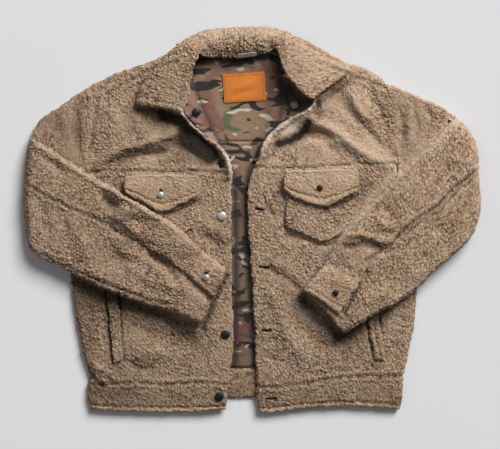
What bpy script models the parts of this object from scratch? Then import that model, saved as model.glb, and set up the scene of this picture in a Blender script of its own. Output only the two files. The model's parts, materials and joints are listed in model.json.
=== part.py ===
"""Sherpa trucker jacket, laid out flat on its back with the forearms folded over the front.

Axes: +X to the right and +Y to the top as seen from above, +Z up out of the surface.
Left and right in the names are the wearer's: the right half lies on the -X side.
The origin is under the middle of the jacket, on the surface that it lies on.
Tables hold millimetres; every mesh is made in metres.
"""

import math

import bmesh
import bpy
import numpy as np

MM = 0.001

# ---- driving dimensions, in millimetres -------------------------------------------------
SEAM_GAP = 0.4              # clear space between sewn pieces
LAY_GAP = 0.4               # clear space between a piece and what lies on it
SHERPA = 8.0                # curly pile on its knit backing
BACK_SHERPA = 7.0           # the same cloth, pressed by the weight on it
CLOTH = 1.0                 # lining, facing, label
COLLAR_LAYER = 6.0          # each of the collar's two layers
POCKET_LAYER = 5.0          # chest pouch
FLAP_LAYER = 6.0            # chest flap
WELT_LAYER = 4.0            # hand pocket welt
BACK_WAIST = 8.2            # back waistband, sherpa on both sides

LINING_BASE = BACK_SHERPA + LAY_GAP
LINING_TOP = LINING_BASE + CLOTH
FRONT_TOP = 17.8            # top of a front where nothing lifts it
SIDE_DROP = 1.2             # how far a front comes down to its side seam
SIDE_ROLL = 40.0            # over this width
ARM_HEIGHT = 18.0           # upper arm, pressed flat
FOREARM_HEIGHT = 18.0       # forearm at its edges
FOREARM_CROWN = 1.9         # and how much fuller along its middle
FOREARM_LIFT = 1.2          # forearm over what it lies on

BUTTON_RADIUS = 7.8         # front buttons
SMALL_SNAP_RADIUS = 5.5     # snaps on flaps and cuffs
NECK_SNAP_RADIUS = 7.6      # snaps at the neck
BUTTON_HEIGHT = 3.0
BUTTON_LIFT = 0.8           # clear of the pile under them

LABEL_SIZE = (74.0, 50.0)
LABEL_TILT = 3.5            # degrees, its right end higher
ARM_WALL = 7.5              # the sherpa of the upper arm, pressed
SEAM_REACH = 1.1            # where the left forearm's lower seam lies, in arm heights from its edge

# ---- how finely curved edges are followed -----------------------------------------------
CURVE_STEPS = 16            # between two points of an outline
ARC_STEPS = 5               # round the edge of a flattened sleeve
ELBOW_STEPS = 7             # over a folded elbow
COLLAR_STEPS = 5            # from the collar's neck edge to its free edge
FACING_SAMPLES = 41         # across a facing, to find its height at a place
NEARBY = 3.0                # millimetres over which those heights are averaged
CAP_SIDES = 16              # round a metal cap
CAP_PROFILE = ((0.80, 0.0), (1.0, 0.18), (1.0, 0.55), (0.90, 0.86), (0.62, 1.0))    # reach, rise

# ---- colours of the sub-parts: red, green, blue, roughness, metallic --------------------
FINISHES = {
    "sherpa_tan": (0.42, 0.31, 0.22, 0.95, 0.0),
    "sherpa_back": (0.38, 0.28, 0.20, 0.95, 0.0),
    "camouflage": (0.25, 0.20, 0.14, 0.75, 0.0),
    "label_orange": (0.75, 0.24, 0.02, 0.60, 0.0),
    "tape_cream": (0.62, 0.58, 0.48, 0.80, 0.0),
    "metal_black": (0.02, 0.02, 0.025, 0.35, 0.9),
    "metal_nickel": (0.60, 0.60, 0.58, 0.30, 1.0),
}

# ---- outlines, from above ----------------------------------------------------------------
# Seams are shared by the pieces on both sides of them.
SHOULDER_SEAM_R = [(-289, 209), (-266, 214), (-222, 240), (-175, 265), (-133, 275)]
ARMHOLE_R = [(-289, 209), (-290, 184), (-296, 156), (-301, 133), (-298, 107), (-294, 83)]
YOKE_SEAM_R = [(-294, 83), (-215, 86), (-156, 83), (-94, 85), (-37, 81)]
NECK_EDGE_R = [(-133, 275), (-121, 235), (-122, 186), (-86, 148), (-60, 127), (-44, 107), (-37, 81)]
SIDE_R = [(-294, 83), (-301, 25), (-310, -26), (-320, -75), (-319, -106), (-314, -143), (-303, -210),
          (-286, -288)]
FRONT_EDGE_R = [(-37, 81), (-37, -35), (-35, -133), (-33, -220), (-40, -266), (-43, -290)]
WAIST_SEAM_R = [(-286, -288), (-262, -290), (-202, -286), (-147, -290), (-91, -286), (-43, -290)]
HEM_R = [(-281, -332), (-202, -336), (-113, -336), (-46, -333)]

SHOULDER_SEAM_L = [(112, 275), (163, 256), (198, 244), (233, 230)]
ARMHOLE_L = [(233, 230), (245, 203), (253, 175), (249, 149), (252, 121), (255, 98)]
YOKE_SEAM_L = [(0, 91), (49, 90), (94, 90), (182, 96), (255, 98)]
NECK_EDGE_L = [(112, 275), (105, 235), (105, 196), (69, 176), (33, 148), (14, 119), (0, 91)]
SIDE_L = [(255, 98), (262, 42), (280, -10), (291, -75), (290, -124), (285, -185), (273, -241), (266, -274)]
FRONT_EDGE_L = [(0, 91), (-8, 51), (-8, -1), (-4, -57), (0, -124), (4, -194), (8, -294)]
WAIST_SEAM_L = [(8, -294), (51, -294), (116, -283), (172, -276), (266, -274)]
HEM_L = [(12, -336), (32, -339), (66, -333), (126, -327), (196, -327), (259, -331)]

# The front's panels: four edges each, and how many faces across and down.
PANELS = (
    dict(name="yoke_front_r", columns=10, rows=7,
         top=SHOULDER_SEAM_R, bottom=YOKE_SEAM_R, left=ARMHOLE_R, right=NECK_EDGE_R),
    dict(name="front_r", columns=10, rows=12,
         top=YOKE_SEAM_R, bottom=WAIST_SEAM_R, left=SIDE_R, right=FRONT_EDGE_R),
    dict(name="waistband_front_r", columns=10, rows=2,
         top=WAIST_SEAM_R, bottom=HEM_R,
         left=[(-286, -288), (-284, -322), (-281, -332)], right=[(-43, -290), (-44, -311), (-46, -333)]),
    dict(name="shoulder_r", columns=10, rows=2,
         top=[(-294, 230), (-241, 256), (-196, 272), (-140, 293)], bottom=SHOULDER_SEAM_R,
         left=[(-294, 230), (-289, 209)], right=[(-140, 293), (-133, 275)]),
    dict(name="yoke_front_l", columns=10, rows=7,
         top=SHOULDER_SEAM_L, bottom=YOKE_SEAM_L, left=NECK_EDGE_L, right=ARMHOLE_L),
    dict(name="front_l", columns=10, rows=12,
         top=YOKE_SEAM_L, bottom=WAIST_SEAM_L, left=FRONT_EDGE_L, right=SIDE_L),
    dict(name="waistband_front_l", columns=10, rows=2,
         top=WAIST_SEAM_L, bottom=HEM_L,
         left=[(8, -294), (8, -311), (12, -336)], right=[(266, -274), (264, -311), (259, -331)]),
    dict(name="shoulder_l", columns=10, rows=2,
         top=[(122, 294), (168, 275), (197, 266), (228, 248)], bottom=SHOULDER_SEAM_L,
         left=[(122, 294), (112, 275)], right=[(228, 248), (233, 230)]),
)

# Soft folds of the fronts: from one end to the other, half width and height.
FOLDS = (
    dict(name="chest_r", start=(-259, 98), end=(-178, 137), width=14, height=3.5),
    dict(name="chest_r_inner", start=(-178, 137), end=(-116, 154), width=12, height=3.0),
    dict(name="chest_l_upper", start=(175, 230), end=(210, 177), width=12, height=2.5),
    dict(name="chest_l_lower", start=(98, 170), end=(228, 107), width=13, height=3.5),
    dict(name="belly_r", start=(-178, -220), end=(-82, -194), width=22, height=2.5),
    dict(name="belly_l", start=(40, -141), end=(84, -229), width=20, height=2.5),
)

# The neck corners of the fronts stand up with the collar: centre, reach and height.
NECK_LIFTS = (
    dict(name="right", centre=(-121, 188), reach=52, height=15.0),
    dict(name="left", centre=(103, 198), reach=52, height=15.0),
)

# What lies on the fronts under the forearms: centre, half size and height over the front.
STACKS = (
    dict(name="flap_r", centre=(-159, 48), half=(68, 33), height=12.2),
    dict(name="pouch_r", centre=(-159, 13), half=(58, 52), height=5.8),
    dict(name="pouch_l", centre=(116, 20), half=(60, 58), height=5.8),
    dict(name="welt_r", centre=(-243, -180), half=(24, 78), height=5.4),
    dict(name="welt_l", centre=(212, -196), half=(24, 60), height=5.4),
    dict(name="button_r", centre=(-51, -96), half=(8, 8), height=4.0),
)
STACK_EASE = 36.0           # width over which the cloth above comes down beside them


def edge(points):
    """A smooth curve through the points, as a function of the share of its length."""
    knots = np.array(points, dtype=float)
    if len(knots) == 2:
        return lambda share: knots[0] + np.multiply.outer(np.asarray(share, dtype=float), knots[1] - knots[0])
    padded = np.vstack((2 * knots[0] - knots[1], knots, 2 * knots[-1] - knots[-2]))
    fine = [knots[0]]
    for first, second, third, fourth in zip(padded, padded[1:], padded[2:], padded[3:]):
        for step in range(1, CURVE_STEPS + 1):
            t = step / CURVE_STEPS
            fine.append(0.5 * (2 * second + (third - first) * t
                               + (2 * first - 5 * second + 4 * third - fourth) * t ** 2
                               + (3 * second - first - 3 * third + fourth) * t ** 3))
    fine = np.array(fine)
    run = np.concatenate(([0.0], np.cumsum(np.hypot(*np.diff(fine, axis=0).T))))
    run /= run[-1]

    def at(share):
        return np.stack([np.interp(share, run, fine[:, axis]) for axis in (0, 1)], axis=-1)

    return at


def patch(top, bottom, left, right):
    """The plan surface inside four edges, as a function of two shares (across, down)."""
    assert top[0] == left[0] and top[-1] == right[0] and bottom[0] == left[-1] and bottom[-1] == right[-1]
    top, bottom, left, right = (edge(points) for points in (top, bottom, left, right))
    corners = top(0.0), top(1.0), bottom(0.0), bottom(1.0)

    def at(across, down):
        across, down = np.broadcast_arrays(np.asarray(across, float), np.asarray(down, float))
        u, v = across[..., None], down[..., None]
        ruled = (1 - v) * top(across) + v * bottom(across) + (1 - u) * left(down) + u * right(down)
        bilinear = ((1 - v) * ((1 - u) * corners[0] + u * corners[1])
                    + v * ((1 - u) * corners[2] + u * corners[3]))
        return ruled - bilinear

    return at


def shares(count, length, inset):
    """Even shares from 0 to 1 that keep the inset clear at both ends."""
    margin = inset / length
    return np.linspace(margin, 1 - margin, count + 1)


def smooth(value):
    """A soft step from 0 to 1."""
    value = np.clip(value, 0.0, 1.0)
    return value * value * (3 - 2 * value)


def length_between(start, end):
    return float(np.hypot(*(np.subtract(end, start))))


def distance_to(points, x, y):
    """Distance from places to a line of points."""
    nearest = np.full(np.shape(x), np.inf)
    for (ax, ay), (bx, by) in zip(points, points[1:]):
        dx, dy = bx - ax, by - ay
        share = np.clip(((x - ax) * dx + (y - ay) * dy) / (dx * dx + dy * dy), 0.0, 1.0)
        nearest = np.minimum(nearest, np.hypot(x - ax - share * dx, y - ay - share * dy))
    return nearest


def fold_rise(x, y):
    """Height that the soft folds add to the fronts."""
    rise = np.zeros(np.shape(x))
    for fold in FOLDS:
        away = distance_to([fold["start"], fold["end"]], x, y)
        rise = rise + fold["height"] * np.exp(-(away / fold["width"]) ** 2)
    return rise


def neck_rise(x, y):
    """Height by which the neck corners stand up."""
    rise = np.zeros(np.shape(x))
    for lift in NECK_LIFTS:
        away = np.hypot(x - lift["centre"][0], y - lift["centre"][1])
        rise = rise + lift["height"] * (1 - smooth(away / lift["reach"]))
    return rise


def front_top(x, y):
    """Height of the upper face of the fronts."""
    x, y = np.asarray(x, float), np.asarray(y, float)
    sides = np.minimum(distance_to(SIDE_R, x, y), distance_to(SIDE_L, x, y))
    drop = SIDE_DROP * (1 - smooth(sides / SIDE_ROLL))
    return FRONT_TOP + fold_rise(x, y) + neck_rise(x, y) - drop


def stack_top(x, y):
    """Height of the fronts with their pockets, as the forearms meet them."""
    x, y = np.asarray(x, float), np.asarray(y, float)
    rise = np.zeros(np.shape(x))
    for stack in STACKS:
        (cx, cy), (half_x, half_y) = stack["centre"], stack["half"]
        outside = np.hypot(np.maximum(np.abs(x - cx) - half_x, 0), np.maximum(np.abs(y - cy) - half_y, 0))
        rise = np.maximum(rise, stack["height"] * (1 - smooth(outside / STACK_EASE)))
    return front_top(x, y) + rise


def forearm_base(x, y):
    """Height of the underside of a forearm."""
    return np.maximum(ARM_HEIGHT, stack_top(x, y)) + FOREARM_LIFT


# ---- meshes ------------------------------------------------------------------------------
def material(name):
    made = bpy.data.materials.get(name)
    if made is None:
        red, green, blue, roughness, metallic = FINISHES[name]
        made = bpy.data.materials.new(name)
        made.use_nodes = True
        made.diffuse_color = (red, green, blue, 1)
        shader = made.node_tree.nodes["Principled BSDF"]
        shader.inputs["Base Color"].default_value = (red, green, blue, 1)
        shader.inputs["Roughness"].default_value = roughness
        shader.inputs["Metallic"].default_value = metallic
    return made


def add_object(name, vertices, faces, finish):
    mesh = bpy.data.meshes.new(name)
    mesh.from_pydata([tuple(vertex) for vertex in vertices], [], faces)
    mesh.validate()
    mesh.materials.append(material(finish))
    mesh.shade_smooth()
    mesh.set_sharp_from_angle(angle=math.radians(50))
    made = bpy.data.objects.new(name, mesh)
    bpy.context.scene.collection.objects.link(made)
    made.parent = JACKET
    return made


def wall(name, outer, inner, finish, closed=False):
    """Cloth between two grids of points, rows down and columns across; closed goes all round."""
    rows, columns = outer.shape[:2]
    under = rows * columns

    def at(row, column):
        return row * columns + column % columns

    faces = []
    for row in range(rows - 1):
        for column in range(columns if closed else columns - 1):
            near, below = at(row, column), at(row + 1, column)
            beside, opposite = at(row, column + 1), at(row + 1, column + 1)
            for face in ((near, below, opposite), (near, opposite, beside)):
                faces.append(face)
                faces.append(tuple(under + point for point in reversed(face)))
    for column in range(columns if closed else columns - 1):
        for first, second in ((at(0, column), at(0, column + 1)),
                              (at(rows - 1, column + 1), at(rows - 1, column))):
            faces.append((first, second, under + second, under + first))
    if not closed:
        for row in range(rows - 1):
            for first, second in ((at(row + 1, 0), at(row, 0)),
                                  (at(row, columns - 1), at(row + 1, columns - 1))):
                faces.append((first, second, under + second, under + first))
    points = np.concatenate((outer.reshape(-1, 3), inner.reshape(-1, 3))) * MM
    return add_object(name, points, faces, finish)


def lowered(grid, thickness):
    """The grid moved straight down."""
    return grid - np.array((0.0, 0.0, thickness))


def rounded_solid(name, rings, finish):
    """A closed solid through rings of points, with both ends filled."""
    count = len(rings[0])
    faces = [tuple(range(count))]
    for ring in range(len(rings) - 1):
        for point in range(count):
            following = (point + 1) % count
            faces.append((ring * count + point, (ring + 1) * count + point,
                          (ring + 1) * count + following, ring * count + following))
    last = (len(rings) - 1) * count
    faces.append(tuple(last + point for point in reversed(range(count))))
    made = add_object(name, np.concatenate(rings) * MM, faces, finish)
    mesh = bmesh.new()
    mesh.from_mesh(made.data)
    bmesh.ops.recalc_face_normals(mesh, faces=mesh.faces)
    mesh.to_mesh(made.data)
    mesh.free()
    return made


def panel(name, top, bottom, left, right, columns, rows, height, thickness, finish):
    """A flat-lying panel inside four edges, its upper face at the height given."""
    plan = patch(top, bottom, left, right)
    width = length_between(left[len(left) // 2], right[len(right) // 2])
    depth = length_between(top[len(top) // 2], bottom[len(bottom) // 2])
    across = shares(columns, width, SEAM_GAP / 2)
    down = shares(rows, depth, SEAM_GAP / 2)
    across, down = np.meshgrid(across, down)
    places = plan(across, down)
    tops = height(places[..., 0], places[..., 1], across, down)
    grid = np.concatenate((places, np.broadcast_to(tops, across.shape)[..., None]), axis=-1)
    return wall(name, grid, lowered(grid, thickness), finish)


def over_fronts(extra):
    """Height rule of a piece that lies this far over the fronts."""
    def height(x, y, across, down):
        return front_top(x, y) + extra
    return height


def level(top):
    """Height rule of a piece that lies level."""
    def height(x, y, across, down):
        return np.full(np.shape(x), top)
    return height


# ---- body --------------------------------------------------------------------------------
BACK_SIDE_R = [(-287, 224), (-284, 188), (-291, 133), (-289, 86), (-298, 25), (-306, -29), (-314, -75),
               (-313, -106), (-308, -143), (-298, -210), (-282, -287)]
BACK_SIDE_L = [(220, 243), (242, 203), (247, 175), (244, 149), (248, 98), (257, 42), (274, -12),
               (285, -75), (285, -124), (279, -185), (268, -241), (261, -274)]
BACK_WAIST_SEAM = [(-282, -287), (-161, -276), (-35, -264), (9, -264), (136, -269), (261, -274)]
LINING_SEAM = [(-262, 137), (-9, 137), (226, 137)]


def make_body():
    for row in PANELS:
        panel(**row, height=over_fronts(0.0), thickness=SHERPA, finish="sherpa_tan")
    panel("back", columns=8, rows=14, height=level(BACK_SHERPA), thickness=BACK_SHERPA, finish="sherpa_back",
          top=[(-287, 224), (-231, 248), (-147, 280), (-82, 291), (-12, 296), (49, 294), (116, 281),
               (172, 262), (220, 243)],
          bottom=BACK_WAIST_SEAM, left=BACK_SIDE_R, right=BACK_SIDE_L)
    panel("waistband_back", columns=8, rows=2,
          height=level(BACK_WAIST), thickness=BACK_WAIST, finish="sherpa_back",
          top=BACK_WAIST_SEAM, left=[(-282, -287), (-276, -329)], right=[(261, -274), (254, -323)],
          bottom=[(-276, -329), (-161, -320), (-35, -314), (10, -314), (136, -318), (254, -323)])
    panel("lining_neck", columns=6, rows=4, height=level(LINING_TOP), thickness=CLOTH, finish="camouflage",
          top=[(-133, 273), (-82, 285), (-12, 289), (49, 287), (98, 275)], bottom=LINING_SEAM,
          left=[(-133, 273), (-259, 191), (-262, 137)], right=[(98, 275), (210, 191), (226, 137)])
    panel("lining_back", columns=4, rows=6, height=level(LINING_TOP), thickness=CLOTH, finish="camouflage",
          top=LINING_SEAM, bottom=[(-266, -260), (-9, -260), (245, -260)],
          left=[(-262, 137), (-280, -19), (-287, -106), (-266, -260)],
          right=[(226, 137), (254, -19), (262, -106), (245, -260)])


# ---- neck facings: they fall from the standing front edge to the lining --------------------
FACINGS = (
    dict(name="facing_neck_r", outer_side="left",
         left=[(-114, 247), (-115, 212), (-116, 189), (-101, 164), (-82, 149), (-56, 129), (-41, 109)],
         right=[(-105, 247), (-97, 220), (-91, 200), (-76, 162), (-64, 144), (-49, 125), (-38, 111)]),
    dict(name="facing_neck_l", outer_side="right",
         left=[(50, 251), (52, 223), (53, 196), (46, 170), (26, 149), (10, 125), (0, 105)],
         right=[(98, 251), (99, 223), (99, 200), (65, 179), (29, 150), (13, 125), (3, 104)]),
)
FACING_FOOT = LINING_TOP + CLOTH + 0.6      # upper face of a facing where it meets the lining
FACING_TUCK = 2.5           # how far below the front's upper face it starts
FACING_LIFT = 0.75          # how much of the neck corners' rise it shares


def facing_height(row):
    """The facing's upper face falls from under the front edge to the lining."""
    def height(x, y, across, down):
        inward = across if row["outer_side"] == "left" else 1 - across
        rim = FRONT_TOP - FACING_TUCK + neck_rise(x, y) * FACING_LIFT
        return rim + (FACING_FOOT - rim) * smooth(inward)
    return height


def make_facings():
    for row in FACINGS:
        left, right = row["left"], row["right"]
        panel(row["name"], top=[left[0], right[0]], bottom=[left[-1], right[-1]], left=left, right=right,
              columns=4, rows=9, height=facing_height(row), thickness=CLOTH, finish="camouflage")


# ---- pockets -------------------------------------------------------------------------------
FLAP_BASE = POCKET_LAYER + 2 * LAY_GAP
POCKETS = (
    dict(name="pouch_chest_r", columns=6, rows=5, thickness=POCKET_LAYER, base=LAY_GAP,
         top=[(-214, 62), (-105, 62)], bottom=[(-215, -15), (-159, -38), (-103, -15)],
         left=[(-214, 62), (-215, -15)], right=[(-105, 62), (-103, -15)]),
    dict(name="pouch_chest_l", columns=6, rows=6, thickness=POCKET_LAYER, base=LAY_GAP,
         top=[(63, 70), (173, 70)], bottom=[(57, -12), (92, -26), (124, -38), (153, -26), (172, -12)],
         left=[(63, 70), (57, -12)], right=[(173, 70), (172, -12)]),
    dict(name="flap_chest_r", columns=8, rows=4, thickness=FLAP_LAYER, base=FLAP_BASE,
         top=[(-224, 77), (-161, 78), (-95, 77)],
         bottom=[(-222, 49), (-192, 30), (-158, 14), (-124, 27), (-94, 42)],
         left=[(-224, 77), (-225, 63), (-222, 49)], right=[(-95, 77), (-91, 58), (-94, 42)]),
    dict(name="flap_chest_l", columns=8, rows=4, thickness=FLAP_LAYER, base=FLAP_BASE,
         top=[(57, 85), (119, 87), (185, 87)],
         bottom=[(56, 55), (69, 41), (94, 31), (124, 23), (154, 34), (183, 49)],
         left=[(57, 85), (55, 69), (56, 55)], right=[(185, 87), (186, 65), (183, 49)]),
    dict(name="welt_hand_r", columns=2, rows=6, thickness=WELT_LAYER, base=LAY_GAP,
         top=[(-257, -110), (-235, -110)], bottom=[(-244, -250), (-227, -249)],
         left=[(-257, -110), (-244, -250)], right=[(-235, -110), (-227, -249)]),
    dict(name="welt_hand_l", columns=2, rows=5, thickness=WELT_LAYER, base=LAY_GAP,
         top=[(194, -147), (218, -143)], bottom=[(215, -246), (231, -246)],
         left=[(194, -147), (215, -246)], right=[(218, -143), (231, -246)]),
)


def make_pockets():
    for row in POCKETS:
        shape = {key: value for key, value in row.items() if key != "base"}
        panel(**shape, height=over_fronts(row["base"] + row["thickness"]), finish="sherpa_tan")


# ---- sleeves -------------------------------------------------------------------------------
# Plan edges of each stretch of sleeve: "top" is the edge that lies higher on the body.
ARMS = (
    dict(name="r", side=-1,
         upper=dict(top=[(-294, 230), (-317, 214), (-341, 197), (-367, 179)],
                    bottom=[(-313, -29), (-336, -42), (-367, -47)],
                    left=[(-294, 230), (-292, 184), (-298, 156), (-304, 133), (-300, 107), (-298, 83),
                          (-304, 25), (-313, -29)],
                    right=[(-367, 179), (-367, 69), (-367, -47)]),
         fore=dict(top=[(-367, 132), (-296, 86), (-217, 39), (-135, -10), (-108, -32), (-91, -62)],
                   bottom=[(-367, -68), (-337, -82), (-292, -105), (-244, -129), (-182, -149), (-136, -163)],
                   left=[(-367, 132), (-367, 34), (-367, -68)], right=[(-91, -62), (-107, -91), (-136, -163)]),
         cuff=dict(top=[(-91, -62), (-65, -73), (-44, -89)], bottom=[(-136, -163), (-114, -173), (-90, -184)],
                   left=[(-91, -62), (-107, -91), (-136, -163)], right=[(-44, -89), (-66, -134), (-90, -184)]),
         seam_share=(0.43, 0.38, 0.38, 0.39, 0.28), tab_share=(0.28, 0.47), strip=13.0),
    dict(name="l", side=1,
         upper=dict(top=[(231, 244), (268, 227), (303, 212), (338, 191)],
                    bottom=[(289, -40), (320, -43), (362, -36)],
                    left=[(231, 244), (249, 203), (257, 175), (254, 149), (256, 121), (260, 86),
                          (268, 39), (289, -40)],
                    right=[(338, 191), (333, 170), (335, 151), (352, 125), (364, 86), (368, 25), (362, -36)]),
         fore=dict(top=[(336, 153), (301, 124), (257, 83), (220, 41), (164, -12), (142, -47), (122, -84)],
                   bottom=[(372, -42), (342, -71), (320, -89), (290, -120), (261, -141), (210, -169)],
                   left=[(336, 153), (359, 121), (368, 76), (369, 16), (372, -42)],
                   right=[(122, -84), (175, -122), (210, -169)]),
         cuff=dict(top=[(122, -84), (103, -106), (89, -125)], bottom=[(210, -169), (186, -184), (160, -202)],
                   left=[(122, -84), (175, -122), (210, -169)], right=[(89, -125), (128, -161), (160, -202)]),
         seam_share=(0.42, 0.49, 0.46, 0.45, 0.55), tab_share=(0.55, 0.66), strip=0.0),
)

# The folded elbows: places on the outline, on the joint with the forearm, and the height.
ELBOWS = (
    dict(name="sleeve_elbow_r", rows=(
        dict(rim=(-372, 174), joint=(-368, 172), top=15), dict(rim=(-383, 158), joint=(-368, 154), top=20),
        dict(rim=(-389, 142), joint=(-368, 132), top=36), dict(rim=(-395, 118), joint=(-368, 107), top=40),
        dict(rim=(-399, 72), joint=(-368, 69), top=41), dict(rim=(-400, 34), joint=(-368, 34), top=41),
        dict(rim=(-398, -5), joint=(-368, -5), top=41), dict(rim=(-395, -42), joint=(-368, -36), top=40),
        dict(rim=(-380, -62), joint=(-368, -59), top=36))),
    dict(name="sleeve_elbow_l", rows=(
        dict(rim=(350, 184), joint=(341, 181), top=15), dict(rim=(360, 175), joint=(340, 167), top=22),
        dict(rim=(371, 166), joint=(340, 154), top=36), dict(rim=(388, 142), joint=(360, 131), top=40),
        dict(rim=(396, 111), joint=(368, 104), top=41), dict(rim=(398, 72), joint=(371, 72), top=41),
        dict(rim=(400, 30), joint=(373, 30), top=41), dict(rim=(398, 4), joint=(374, 6), top=40),
        dict(rim=(389, -23), joint=(374, -19), top=36), dict(rim=(381, -34), joint=(375, -31), top=30))),
)


def across_top(starts, height, thickness):
    """Section points on the upper side: across, up, and the same for the inner face."""
    return [(across, height, across, height - thickness) for across in starts]


def across_bottom(starts, thickness):
    """Section points on the underside."""
    return [(across, 0.0, across, thickness) for across in starts]


def round_edge(width, radius, thickness, at_start):
    """Section points of half a turn at one edge of a flattened tube."""
    points = []
    for turn in np.linspace(math.pi / 2, 3 * math.pi / 2, ARC_STEPS + 1):
        across, up = math.cos(turn), math.sin(turn)
        points.append((radius + radius * across, radius + radius * up,
                       radius + (radius - thickness) * across, radius + (radius - thickness) * up))
    if at_start:
        return points
    return [(width - outer, up, width - inner, inner_up) for outer, up, inner, inner_up in reversed(points)]


def stretch_width(plan, along):
    return length_between(plan(along, 0.0), plan(along, 1.0))


def stretch_shares(plan, count):
    """Even shares along a stretch of sleeve that keep the seams at its ends clear."""
    return shares(count, length_between(plan(0.0, 0.5), plan(1.0, 0.5)), SEAM_GAP)


def section_row(plan, along, section, height, base, crown):
    """Outer and inner places of a section at one share along a stretch of sleeve."""
    width = stretch_width(plan, along)
    outer, inner = [], []
    for across, up, inner_across, inner_up in section:
        fuller = crown * math.sin(math.pi * across / width) * (up > height / 2)
        for row, side, rise in ((outer, across, up), (inner, inner_across, inner_up)):
            place = plan(along, side / width)
            row.append((place[0], place[1], base(place[0], place[1]) + rise + fuller))
    return outer, inner


def sleeve_wall(name, rows, reverse, closed=False):
    outer, inner = (np.array([row[side] for row in rows]) for side in (0, 1))
    if reverse:
        outer, inner = outer[::-1], inner[::-1]
    wall(name, outer, inner, "sherpa_tan", closed)


def on_surface(x, y):
    return 0.0


def on_jacket(x, y):
    return float(forearm_base(x, y))


def upper_arm(arm):
    """The upper arm, a tube pressed flat on the surface and open at both ends."""
    plan = patch(**arm["upper"])
    radius, thickness = ARM_HEIGHT / 2, ARM_WALL
    rows = []
    for along in stretch_shares(plan, 5):
        width = stretch_width(plan, along)
        flat = np.linspace(radius, width - radius, 6)[1:-1]
        section = (across_top(flat[::-1], ARM_HEIGHT, thickness) + round_edge(width, radius, thickness, True)
                   + across_bottom(flat, thickness) + round_edge(width, radius, thickness, False))
        rows.append(section_row(plan, along, section, ARM_HEIGHT, on_surface, 0.0))
    sleeve_wall("sleeve_upper_" + arm["name"], rows, arm["side"] < 0, closed=True)


def forearm(arm):
    """The forearm: an outer piece that goes round it and an inner piece between its two seams."""
    plan = patch(**arm["fore"])
    height, radius, half_gap = FOREARM_HEIGHT, FOREARM_HEIGHT / 2, SEAM_GAP / 2
    outer_rows, inner_rows = [], []
    for along in stretch_shares(plan, 11):
        width = stretch_width(plan, along)
        seam = width * np.interp(along, np.linspace(0, 1, len(arm["seam_share"])), arm["seam_share"])
        outer_section = (across_top(np.linspace(seam - half_gap, radius, 4)[:-1], height, SHERPA)
                         + round_edge(width, radius, SHERPA, True))
        if arm["strip"]:
            second_seam = width - arm["strip"]
            outer_section += (across_bottom(np.linspace(radius, width - radius, 5)[1:-1], SHERPA)
                              + round_edge(width, radius, SHERPA, False)
                              + across_top([second_seam + half_gap], height, SHERPA))
            inner_section = across_top(np.linspace(second_seam - half_gap, seam + half_gap, 6), height, SHERPA)
        else:
            second_seam = width - SEAM_REACH * height
            outer_section += across_bottom(np.linspace(radius, second_seam - half_gap, 5)[1:], SHERPA)
            inner_section = (across_bottom([second_seam + half_gap], SHERPA)
                             + round_edge(width, radius, SHERPA, False)
                             + across_top(np.linspace(width - radius, seam + half_gap, 6)[1:], height, SHERPA))
        for rows, section in ((outer_rows, outer_section), (inner_rows, inner_section)):
            rows.append(section_row(plan, along, section, height, on_jacket, FOREARM_CROWN))
    sleeve_wall("sleeve_outer_" + arm["name"], outer_rows, arm["side"] > 0)
    sleeve_wall("sleeve_inner_" + arm["name"], inner_rows, arm["side"] > 0)


def cuff(arm):
    """The cuff, open along the placket, and its buttoned end on the upper side."""
    plan = patch(**arm["cuff"])
    height, radius, half_gap = FOREARM_HEIGHT, FOREARM_HEIGHT / 2, SEAM_GAP / 2
    cuff_rows, tab_rows = [], []
    for along in stretch_shares(plan, 3):
        width = stretch_width(plan, along)
        slit = width * np.interp(along, (0, 1), arm["tab_share"])
        edge_turn = round_edge(width, radius, SHERPA, True)
        cuff_section = (edge_turn[3:] + across_bottom(np.linspace(radius, width - radius, 4)[1:-1], SHERPA)
                        + round_edge(width, radius, SHERPA, False)
                        + across_top(np.linspace(width - radius, slit + half_gap, 4)[1:], height, SHERPA))
        tab_section = across_top(np.linspace(slit - half_gap, radius, 4), height, SHERPA) + edge_turn[1:3]
        for rows, section in ((cuff_rows, cuff_section), (tab_rows, tab_section)):
            rows.append(section_row(plan, along, section, height, on_jacket, FOREARM_CROWN))
    sleeve_wall("cuff_" + arm["name"], cuff_rows, arm["side"] > 0)
    sleeve_wall("cuff_tab_" + arm["name"], tab_rows, arm["side"] > 0)


def elbow(row):
    """The sleeve folded back on itself: hidden layers as one rounded solid."""
    rings = []
    for place in row["rows"]:
        rim, joint = np.array(place["rim"], float), np.array(place["joint"], float)
        half = place["top"] / 2
        ring = []
        for turn in np.linspace(math.pi / 2, -math.pi / 2, ELBOW_STEPS + 1):
            spot = joint + (rim - joint) * math.cos(turn)
            ring.append((spot[0], spot[1], half + half * math.sin(turn)))
        rings.append(np.array(ring))
    rounded_solid(row["name"], rings, "sherpa_tan")


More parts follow.
